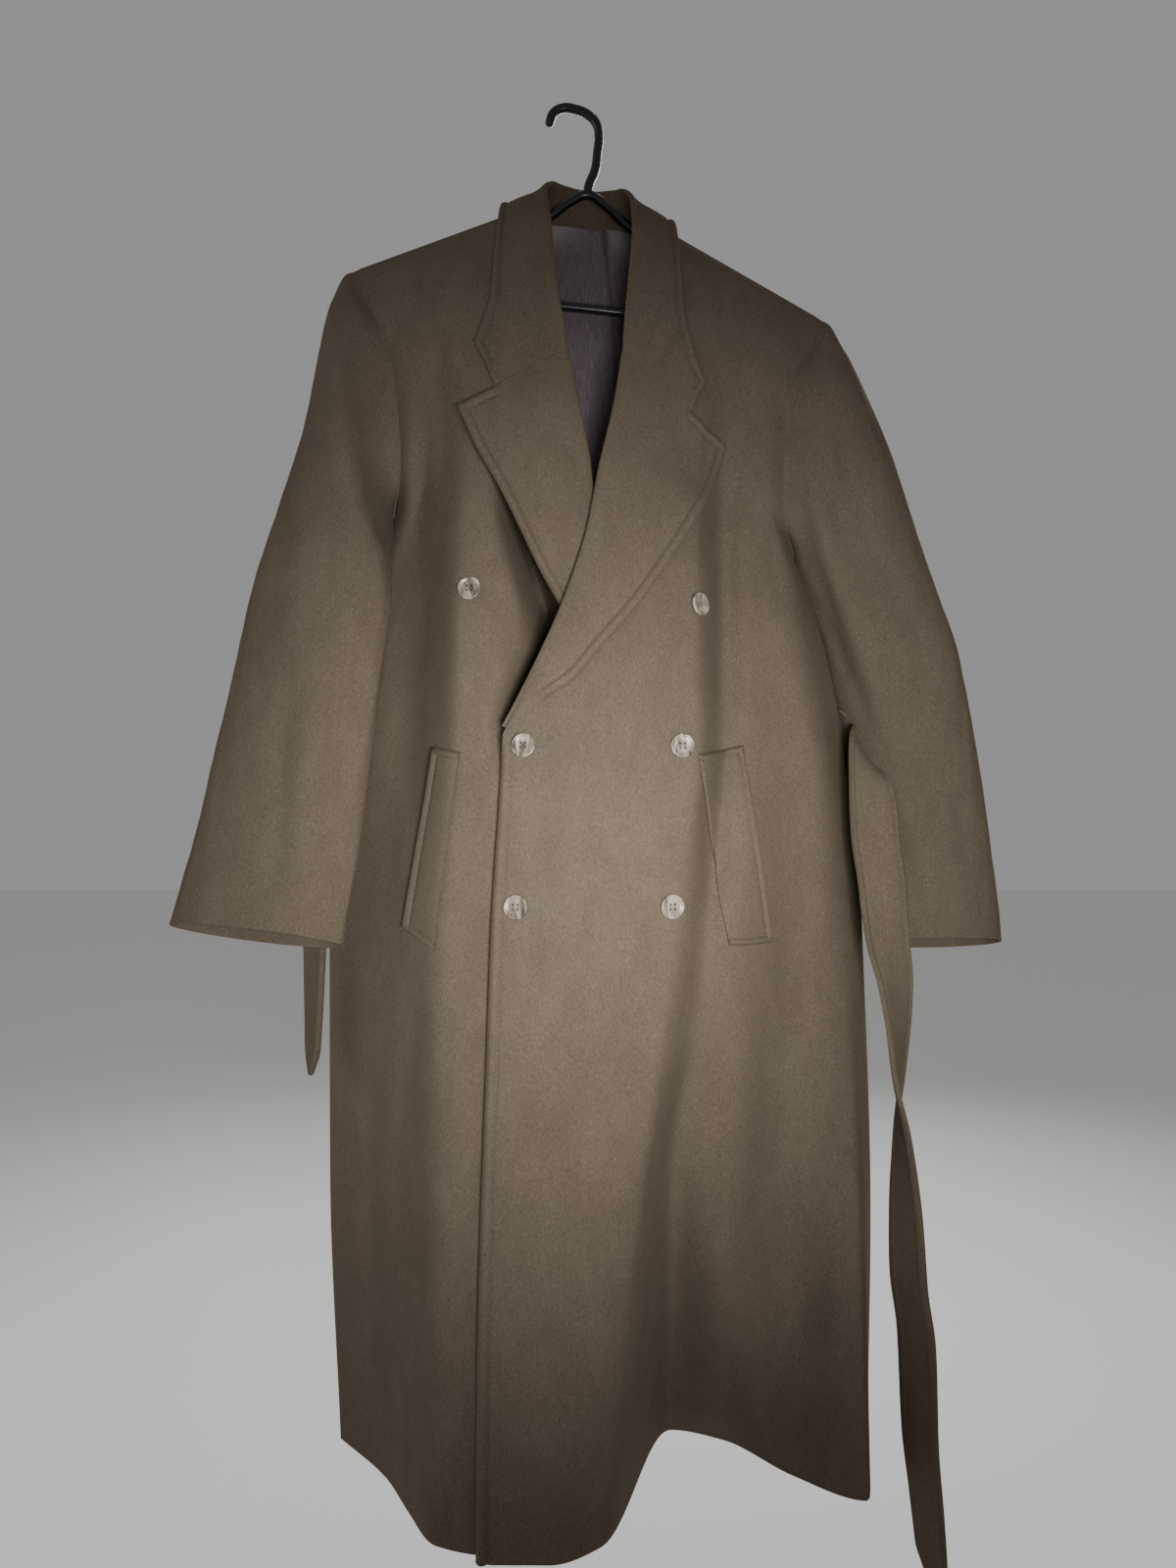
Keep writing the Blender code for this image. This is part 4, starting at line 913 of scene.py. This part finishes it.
def front_station(depth, row, sign):
    """A section of the collar on a front, where the stand runs out to nothing."""
    edge_x, edge_z, fold_x, fold_z, left = row
    edge = (edge_x, -float(depth(edge_x, edge_z)) - LAPEL_RISE, edge_z)
    fold = (fold_x, -float(depth(fold_x, fold_z)) - LAPEL_RISE, fold_z)
    run = STAND_RUN * left
    return folded(edge, fold, (fold_x + sign * run[0], fold[1] + 0.004 + run[1], fold_z + run[2]))


def end_station(depth, point, roll, peak):
    """The collar's end: from its point to the notch, then along the seam with the lapel."""
    point, roll, peak = (np.array(p) for p in (point, roll, peak))
    notch = peak + (roll - peak) * NOTCH_SHARE
    at_roll = float(depth(*roll))

    def height(outer, share):
        x, z = outer + (roll - outer) * share
        straight = float(depth(*outer)) * (1 - share) + at_roll * share
        return np.array((x, -max(float(depth(x, z)), straight) - LAPEL_RISE, z))

    row = []
    for j in range(7):
        t = j / 6 * 3
        if t < 1:
            x, z = point + (notch - point) * t
            y = height(notch, 0.0)[1] * t - (float(depth(*point)) + LAPEL_RISE) * (1 - t)
            row.append(np.array((x, y, z)))
        else:
            row.append(height(peak, NOTCH_SHARE + (1 - NOTCH_SHARE) * (t - 1) / 2))
    run = (roll - peak) / np.linalg.norm(roll - peak)
    for move, out in ((0.0008, 0.0066), (0.0028, 0.0046), (0.0032, 0.0020), (0.0033, -0.0008)):
        row.append(np.array((roll[0] + run[0] * move, -at_roll - out, roll[1] + run[1] * move)))
    return [p + (0, 0, 0.0002) for p in row]


def mirrored(station):
    return [(-x, y, z) for x, y, z in station]


stations = [end_station(under_depth, UNDER_COLLAR_POINT, UNDER_ROLL[0], UNDER_OUTER[0])]
stations += [front_station(under_depth, row, -1) for row in reversed(UNDER_COLLAR)]
stations += [folded(*mirrored(row)) for row in reversed(COLLAR_BACK[1:])]
stations += [folded(*row) for row in COLLAR_BACK]
stations += [front_station(over_depth, row, 1) for row in OVER_COLLAR]
stations += [end_station(over_depth, OVER_COLLAR_POINT, OVER_ROLL[0], OVER_OUTER[0])]
stations = np.array(stations)
station_places = np.linspace(0.0, 1.0, len(stations))
end_places = np.array(EDGE_STEPS) * 2.4
collar_places = np.concatenate(
    [end_places, np.linspace(end_places[-1], 1 - end_places[-1], 112)[1:-1], 1 - end_places[::-1]]
)
sections = smooth(
    station_places,
    np.moveaxis(stations, 0, -1)[None],
    np.broadcast_to(collar_places[:, None, None], (len(collar_places), 11, 3)),
)
collar_rows = []
collar_gap = []
for section in sections:
    lengths = np.concatenate([[0.0], np.cumsum(np.linalg.norm(np.diff(section, axis=0), axis=-1))])
    gap = spaced(lengths[-1], EDGE_STEPS, 44)
    collar_rows.append(np.stack([smooth(lengths, c, gap) for c in section.T], axis=-1))
    collar_gap.append(gap)
collar_grid = np.array(collar_rows)
collar_gap = np.array(collar_gap)
steps = np.linalg.norm(np.diff(collar_grid, axis=0), axis=-1)
from_start = np.concatenate([np.zeros((1, steps.shape[1])), np.cumsum(steps, axis=0)])
from_end = from_start[-1:] - from_start
notch_gaps = [np.linalg.norm(s[2] - s[0]) for s in (stations[0], stations[-1])]
to_ends = np.minimum(
    np.where(collar_gap < notch_gaps[0], from_start, 1.0),
    np.where(collar_gap < notch_gaps[1], from_end, 1.0),
)
collar_relief = swelled(np.minimum(collar_gap, to_ends))
collar_grid = collar_grid + outward(collar_grid) * collar_relief[..., None]
collar = cloth("folded_collar", "collar", collar_grid, COLLAR_WALL, melton)
collar_runs = [placed(collar_grid[line_at:-line_at - 1, line_at])]
for row, notch_gap in ((line_at, notch_gaps[0]), (-line_at - 1, notch_gaps[1])):
    inside = collar_gap[row] < notch_gap - 0.002
    collar_runs.append(placed(collar_grid[row][inside][line_at:]))
collar_stitches = stitched("collar_stitches", collar_runs, STITCH)

# Pocket welts: slanting strips of melton laid on the fronts and sewn down at both ends.
# The ends and the free edge are swelled, with stitches 7 mm inside them.
WELT_WALL = 0.003
WELT_INSET = 0.007
UNDER_WELT = ((-0.1463, 0.0354), (-0.1183, 0.0296), (-0.143, -0.153), (-0.177, -0.137))
OVER_WELT = ((0.1006, 0.0272), (0.149, 0.0373), (0.1752, -0.152), (0.1327, -0.152))
WELT_STEPS = (
    (0.0, 0.0006, 0.0016, 0.003, 0.0045, 0.0058, 0.0064, WELT_INSET)
    + (0.0076, 0.0082, 0.0092, 0.0110)
)


def lifted(depth, x, z, height):
    """Points this far out of a front, square to it, and the way out."""
    step = 0.002
    across = (depth(x + step, z) - depth(x - step, z)) / (2 * step)
    up = (depth(x, z + step) - depth(x, z - step)) / (2 * step)
    normal = np.stack([-across, -np.ones_like(across), -up], axis=-1)
    normal = normal / np.linalg.norm(normal, axis=-1, keepdims=True)
    return np.stack([x, -depth(x, z), z], axis=-1) + normal * np.asarray(height)[..., None], normal


def welt_grid(depth, corners, free):
    """Rows down a welt; free is 0 or 1, the side of its free edge."""
    corners = np.array(corners)
    length = np.linalg.norm(corners[3] - corners[0])
    wide = np.linalg.norm(corners[1] - corners[0])
    ends = np.array(WELT_STEPS)
    down = np.concatenate([ends, np.linspace(ends[-1], length - ends[-1], 60)[1:-1], length - ends[::-1]])
    over = np.concatenate([ends, np.linspace(ends[-1], wide, 12)[1:]])
    over = wide - over[::-1] if free else over
    i = (down / length)[:, None, None]
    j = (over / wide)[None, :, None]
    flat = (corners[0] * (1 - i) + corners[3] * i) * (1 - j) + (corners[1] * (1 - i) + corners[2] * i) * j
    to_free = (wide - over if free else over)[None]
    to_end = np.minimum(down, length - down)[:, None]
    height = WELT_WALL + 4 * SEAM + swelled(np.minimum(to_free, to_end), WELT_INSET)
    return lifted(depth, flat[..., 0], flat[..., 1], height)[0]


over_welt = welt_grid(over_depth, OVER_WELT, 1)
under_welt = welt_grid(under_depth, UNDER_WELT, 0)
welt_left = cloth("over_welt", "welt_left", over_welt, WELT_WALL, melton, turned=True)
welt_right = cloth("under_welt", "welt_right", under_welt, WELT_WALL, melton, turned=True)


def welt_runs(grid, free):
    """The lines of stitches inside a welt's free edge and its two ends."""
    at = WELT_STEPS.index(WELT_INSET)
    column = -at - 1 if free else at
    runs = [placed(grid[at:-at, column])]
    for row in (at, -at - 1):
        runs.append(placed(grid[row, : column + 1 or None] if free else grid[row, column:]))
    return runs


over_welt_stitches = stitched("over_welt_stitches", welt_runs(over_welt, 1), STITCH)
under_welt_stitches = stitched("under_welt_stitches", welt_runs(under_welt, 0), STITCH)

# Back lining: satin cut a little smaller than the back, sewn in at the neck and left free
# above the hem. An ease pleat runs down from the neck, pressed to one side.
LINING_WALL = 0.0009
LINING_TOP = 0.577
LINING_HEM = -0.640
LINING_PLEAT = (
    (LINING_TOP, 0.0180), (0.530, 0.0235), (0.470, 0.0290), (0.400, 0.0330), (0.250, 0.0350),
    (LINING_HEM, 0.0350),
)
LINING_CREASES = (
    (((-0.030, 0.560), (-0.022, 0.470), (-0.030, 0.360)), 0.009, 0.0016),
    (((0.000, 0.520), (0.006, 0.430), (0.000, 0.330)), 0.008, -0.0012),
    (((0.055, 0.540), (0.050, 0.440), (0.060, 0.320)), 0.009, 0.0018),
    (((-0.080, 0.200), (-0.070, -0.100), (-0.080, -0.500)), 0.020, 0.0024),
    (((0.090, 0.200), (0.080, -0.150), (0.095, -0.500)), 0.020, 0.0024),
)


def lining_grid():
    """Rows up the inside of the back, each from side to side."""
    z = np.linspace(LINING_HEM, LINING_TOP, 150)[:, None]
    wide = 0.70 * side(np.minimum(z, 0.41), 1) - 0.78 * np.maximum(z - 0.48, 0.0)
    x = wide * np.linspace(-1.0, 1.0, 91)
    z = z + 0.0125 * ease(0.50, LINING_TOP, z) * (1 - (x / NECK_X) ** 2)
    slope = (back_depth(x, z + 0.002) - back_depth(x, z - 0.002)) / 0.004
    inside = (WALL + LINING_WALL + 3 * SEAM) * np.hypot(1, slope) + 0.003 * ease(0.42, 0.52, z)
    pleat = smooth([p[0] for p in LINING_PLEAT], [p[1] for p in LINING_PLEAT], z)
    step = 0.0022 * (1 + np.tanh((x - pleat) / 0.0022)) * np.exp(-np.maximum(x - pleat, 0.0) / 0.02)
    inside = inside + step * ease(0.05, 0.25, z) + np.maximum(creases(LINING_CREASES, x, z), -0.0012)
    return np.stack([x, back_depth(x, z) - inside, z], axis=-1)


# Lining satin: a warp-faced weave of fine bright yarn, so its shine is drawn out across the
# yarns into soft bands. The yarn ribs are drawn 0.8 mm apart, coarser than life, to show.
satin, tree, shader = finish_named(
    "lining_satin_aubergine",
    {"Roughness": 0.44, "Specular IOR Level": 0.32, "Sheen Weight": 0.06, "Sheen Roughness": 0.4},
)
spot = object_place(tree)
drawn = add(tree, "ShaderNodeMapping", {"Scale": (1.0, 1.0, 0.06)}, {"Vector": spot}).outputs["Vector"]
yarn = noise(tree, drawn, 0.0008, Detail=3.0)
coloured(tree, shader, yarn, ((0.30, "#443a3e"), (0.55, "#554a4e"), (0.75, "#665a5e")))
glossed(tree, shader, yarn, 0.34, 0.50)
bumped(tree, shader, yarn, 0.12, 0.0004)
lining = cloth("back_lining", "lining_back", lining_grid(), LINING_WALL, satin)

# Belt: one long strip of melton sewn double, pointed at both ends, loose in its loops.
# It runs round the back at the waist and hangs free at each side, twisting as it falls.
BELT_WALL = 0.004
BELT_WIDTH = 0.048
BELT_HEIGHT = 0.040
BELT_TIP = 0.006
BELT_INSET = 0.0062
OVER_BELT = (
    (0.333, -0.097, -0.772, 108.0), (0.331, -0.097, -0.740, 112.0), (0.3265, -0.097, -0.690, 116.0),
    (0.3205, -0.097, -0.629, 120.0), (0.3168, -0.097, -0.5326, 123.0), (0.3093, -0.097, -0.475, 122.0),
    (0.3070, -0.097, -0.4177, 116.0), (0.3035, -0.097, -0.3346, 92.0), (0.3009, -0.097, -0.283, 66.0),
    (0.3000, -0.097, -0.233, 48.0), (0.2975, -0.097, -0.195, 34.0), (0.2897, -0.096, -0.150, 16.0),
    (0.2840, -0.094, -0.093, 4.0), (0.2785, -0.090, -0.045, 0.0),
)
UNDER_BELT = (
    (-0.2765, -0.050, -0.290, -64.0), (-0.2745, -0.050, -0.262, -62.0), (-0.2735, -0.050, -0.225, -58.0),
    (-0.2725, -0.049, -0.150, -50.0), (-0.2710, -0.047, -0.090, -40.0), (-0.2680, -0.044, -0.040, -30.0),
)
OVER_TURN = (
    (0.2775, -0.080, 0.004, 0.93, 0.0, -0.37),
    (0.2755, -0.060, 0.030, 0.62, 0.12, -0.77),
    (0.2740, -0.034, 0.0385, 0.15, 0.10, -0.98),
)
UNDER_TURN = (
    (-0.2690, -0.040, 0.008, -0.70, 0.40, -0.60),
    (-0.2610, -0.026, 0.034, -0.20, 0.20, -0.96),
)
BELT_BACK = (1.0, 0.985, 0.955, 0.90, 0.82, 0.70, 0.45, 0.2)
half = BELT_WIDTH / 2


def hanging(table):
    """Centre, direction across and half width of each station of a hanging end, from its tip up."""
    rows = []
    for i, (x, y, z, turn) in enumerate(table):
        angle = math.radians(turn)
        rows.append((x, y, z, math.cos(angle), math.sin(angle), 0.0, BELT_TIP if i == 0 else half))
    return rows


def turning(table):
    """The same where the belt turns from hanging to running round."""
    rows = []
    for row in table:
        across = Vector(row[3:6]).normalized()
        rows.append((*row[0:3], *across, half))
    return rows


def belt_round(sign):
    """The same from the side seam to the middle of the back, outside the cloth."""
    low = BELT_HEIGHT - half
    edge = abs(float(side(low, sign)))
    rows = []
    for share in BELT_BACK:
        x = sign * share * edge
        near = sign * (share - 0.004) * edge
        slope = float(back_depth(x, low) - back_depth(near, low)) / (x - near)
        out = Vector((-slope, 1.0, 0)).normalized() if share < 1 else Vector((sign, 0, 0))
        centre = Vector((x, float(back_depth(x, low)), BELT_HEIGHT)) + out * (BELT_WALL + 0.0012)
        rows.append((*centre, 0.0, 0.0, -1.0, half))
    return rows


belt_line = hanging(OVER_BELT) + turning(OVER_TURN) + belt_round(1)
belt_line += list(reversed(belt_round(-1)))
belt_line += list(reversed(turning(UNDER_TURN))) + list(reversed(hanging(UNDER_BELT)))
belt_line = np.array(belt_line)
belt_lengths = np.linalg.norm(np.diff(belt_line[:, :3], axis=0), axis=-1)
belt_lengths = np.concatenate([[0.0], np.cumsum(belt_lengths)])
belt_places = np.linspace(0.0, belt_lengths[-1], 420)
belt_run = np.stack([smooth(belt_lengths, c, belt_places) for c in belt_line.T], axis=-1)
across = belt_run[:, 3:6] / np.linalg.norm(belt_run[:, 3:6], axis=-1, keepdims=True) * belt_run[:, 6:]
BELT_STEPS = (0.0, 0.0006, 0.0016, 0.003, 0.0045, 0.0056, BELT_INSET, 0.0068, 0.0078, 0.0095)
edge_steps = half - np.array(BELT_STEPS)
belt_offsets = np.concatenate([-edge_steps, np.linspace(-0.0125, 0.0125, 8), edge_steps[::-1]]) / half
belt_grid = belt_run[:, None, :3] + across[:, None] * belt_offsets[None, :, None]
to_edge = (1 - np.abs(belt_offsets))[None] * belt_run[:, 6:]
belt_grid = belt_grid + outward(belt_grid) * (swelled(to_edge, BELT_INSET) * 0.8)[..., None]
belt = cloth("hanging_belt", "belt", belt_grid, BELT_WALL, melton)
belt_line_at = BELT_STEPS.index(BELT_INSET)
belt_runs = [placed(belt_grid[14:-14, column]) for column in (belt_line_at, -belt_line_at - 1)]
belt_stitches = stitched("belt_stitches", belt_runs, STITCH)

# Belt loops: narrow strips of melton sewn into the side seams, standing over the belt.
# The belt rests in them, so its own sheet is stated here.
LOOP_WALL = 0.0015
LOOP_RUN = (
    (0.040, 0.0), (0.032, 0.6), (0.0275, 1.0), (0.0, 1.0), (-0.0275, 1.0), (-0.032, 0.6), (-0.040, 0.0),
)


def loop_grid(sign):
    """Rows down a loop, each across its width."""
    low = BELT_HEIGHT - half
    out = abs(float(side(low, sign))) + BELT_WALL + 0.0043 + LOOP_WALL
    run = []
    for z, far in LOOP_RUN:
        near = abs(float(side(BELT_HEIGHT + z, sign))) + LOOP_WALL + 2 * SEAM
        run.append((near + (out - near) * far, BELT_HEIGHT + z))
    run = along(run, np.linspace(0.0, 1.0, 48))
    wide = np.linspace(-0.009, 0.0, 9)
    crown = 0.0004 * np.sin(math.pi * np.linspace(0.0, 1.0, 9))
    x = sign * (run[:, :1] + crown)
    return np.stack([x, wide + 0 * x, run[:, 1:] + 0 * x], axis=-1)


loop_left = cloth("over_side_loop", "loop_left", loop_grid(1), LOOP_WALL, melton, turned=True)
loop_right = cloth("under_side_loop", "loop_right", loop_grid(-1), LOOP_WALL, melton)

# Buttons: six dished buttons turned from marbled horn, with a raised rim and four holes.
# Each is sewn through its holes with the silk twist, close against the cloth.
BUTTON_RADIUS = 0.01125
HOLE_RADIUS = 0.0011
HOLE_PLACE = 0.0022
SEWING = {"spacing": 0.0004, "length": 0.0009, "thick": 0.0008}
BUTTONS = {
    "button_1_right": (-0.1115, 0.177),
    "button_1_left": (0.1034, 0.174),
    "button_2_right": (-0.059, 0.035),
    "button_2_left": (0.086, 0.035),
    "button_3_right": (-0.065, -0.111),
    "button_3_left": (0.076, -0.111),
}
# From the middle of the underside round the rim: share of the radius, and height
BUTTON_PROFILE = (
    (0.0, 0.0), (0.62, 0.0), (0.90, 0.0006), (0.975, 0.0012), (1.0, 0.0019), (0.985, 0.0027),
    (0.945, 0.0033), (0.90, 0.00345), (0.84, 0.0034), (0.78, 0.0031), (0.70, 0.0026), (0.62, 0.0024),
    (0.30, 0.00232), (0.0, 0.0023),
)


def turned_button():
    """A lathe-turned button round +Z, with four holes drilled through it."""
    mesh = bmesh.new()
    knots = [mesh.verts.new((r * BUTTON_RADIUS, 0.0, h)) for r, h in BUTTON_PROFILE]
    edges = [mesh.edges.new(pair) for pair in zip(knots, knots[1:])]
    bmesh.ops.spin(
        mesh, geom=knots + edges, axis=(0, 0, 1), cent=(0, 0, 0), steps=48, angle=2 * math.pi,
        use_merge=True,
    )
    bmesh.ops.remove_doubles(mesh, verts=mesh.verts, dist=0.000001)
    bmesh.ops.recalc_face_normals(mesh, faces=mesh.faces)
    blank_data = bpy.data.meshes.new("button_blank")
    mesh.to_mesh(blank_data)
    mesh.free()
    drill = bmesh.new()
    for sx in (-1, 1):
        for sy in (-1, 1):
            hole = Matrix.Translation((sx * HOLE_PLACE, sy * HOLE_PLACE, 0.001))
            bmesh.ops.create_cone(
                drill, cap_ends=True, segments=16, radius1=HOLE_RADIUS, radius2=HOLE_RADIUS, depth=0.008,
                matrix=hole,
            )
    drill_data = bpy.data.meshes.new("button_drill")
    drill.to_mesh(drill_data)
    drill.free()
    blank = linked("button_blank", blank_data)
    bits = linked("button_drill", drill_data)
    holes = blank.modifiers.new("holes", "BOOLEAN")
    holes.operation = "DIFFERENCE"
    holes.solver = "EXACT"
    holes.object = bits
    data = plain_mesh(blank)
    bpy.data.objects.remove(bits, do_unlink=True)
    return data


# Marbled horn: polished to a gloss, grey-brown with darker streaks along the slanting grain. Its pale grey
# tones are partly the horn's own colour and partly painted reflection.
horn, tree, shader = finish_named(
    "polished_marbled_horn", {"IOR": 1.54, "Roughness": 0.26, "Specular IOR Level": 0.45}
)
grain = add(
    tree,
    "ShaderNodeMapping",
    {"Scale": (1.0, 1.0, 0.35), "Rotation": (0.0, math.radians(32), 0.0)},
    {"Vector": object_place(tree)},
)
marbling_and_painted_reflection = noise(tree, grain.outputs["Vector"], 0.0085, Detail=3.0, Roughness=0.5, Distortion=1.2)
# The two palest stops are partly painted reflection: they are lighter than the horn is, to stand in for its
# shine.
coloured(
    tree, shader, marbling_and_painted_reflection, ((0.30, "#2e261d"), (0.44, "#62574a"), (0.58, "#857b6b"), (0.74, "#a89e8e"))
)

button_shape = turned_button()
thread_lines = []
for name, (x, z) in BUTTONS.items():
    depth = under_depth if name == "button_1_right" else over_depth
    seat, normal = lifted(depth, np.array(x), np.array(z), 0.0)
    seat = Vector(seat)
    normal = Vector(normal)
    aside = normal.orthogonal().normalized()
    other = normal.cross(aside)
    need = 0.0
    for turn in range(24):
        angle = turn * math.pi / 12
        rim = seat + (aside * math.cos(angle) + other * math.sin(angle)) * BUTTON_RADIUS * 0.8
        need = max(need, (rim.y + float(depth(rim.x, rim.z))) / -normal.y)
    seat = Vector(placed(seat + normal * (need + 2 * SEAM)))
    pose = Matrix.Translation(seat) @ normal.to_track_quat("Z", "Y").to_matrix().to_4x4()
    mesh = button_shape.copy()
    mesh.transform(pose)
    button = shown("horn_" + name, mesh, horn)
    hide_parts(name)
    for sx in (-1, 1):
        line = []
        for y in np.linspace(-HOLE_PLACE, HOLE_PLACE, 9):
            line.append((sx * HOLE_PLACE, y, 0.0029 - 0.0012 * abs(y / HOLE_PLACE) ** 3))
        thread_lines.append(np.array([pose @ Vector(p) for p in line]))
button_threads = stitched("button_threads", thread_lines, SEWING)

# Studio: a pale floor under the hanging coat. One soft light stands close in front of the
# waist and fades towards the shoulders and the hem; two more open up one side and the back.
FLOOR_Z = -1.62
floor_mesh = bmesh.new()
bmesh.ops.create_grid(
    floor_mesh, x_segments=1, y_segments=1, size=9.0, matrix=Matrix.Translation((0.0, 0.0, FLOOR_Z))
)
floor_data = bpy.data.meshes.new("studio_floor")
floor_mesh.to_mesh(floor_data)
floor_mesh.free()
floor = linked("studio_floor", floor_data)
paper, tree, shader = finish_named(
    "studio_paper_pale", {"Base Color": linear("#f4f4f2"), "Roughness": 0.9, "Specular IOR Level": 0.1}
)
floor_data.materials.append(paper)

world = bpy.data.worlds.new("studio")
world.use_nodes = True
surround = world.node_tree.nodes["Background"]
surround.inputs["Color"].default_value = linear("#dcdcdc")
surround.inputs["Strength"].default_value = 0.42
bpy.context.scene.world = world
LIGHTS = (
    ("front_soft_light", (0.16, -1.28, -0.78), 0.25, 3.5, 57.0),
    ("left_soft_light", (-2.6, -0.6, 0.2), 1.6, 12.0, 180.0),
    ("rear_soft_light", (0.8, 2.7, 0.7), 2.0, 30.0, 90.0),
)
for name, spot, size, power, spread in LIGHTS:
    lamp = bpy.data.lights.new(name, "AREA")
    lamp.shape = "SQUARE"
    lamp.size = size
    lamp.energy = power
    lamp.spread = math.radians(spread)
    light = linked(name, lamp)
    light.location = spot
    aim = Vector((0.0, 0.0, -0.74)) - light.location
    light.rotation_euler = aim.to_track_quat("-Z", "Y").to_euler()

lens = bpy.data.cameras.new("photo_camera")
lens.lens = 27.05
lens.sensor_fit = "VERTICAL"
lens.sensor_height = 36.0
camera = linked("photo_camera", lens)
camera.location = (0.0133, -1.23, -0.6995)
camera.rotation_euler = (math.radians(90), 0.0, 0.0)
bpy.context.scene.camera = camera
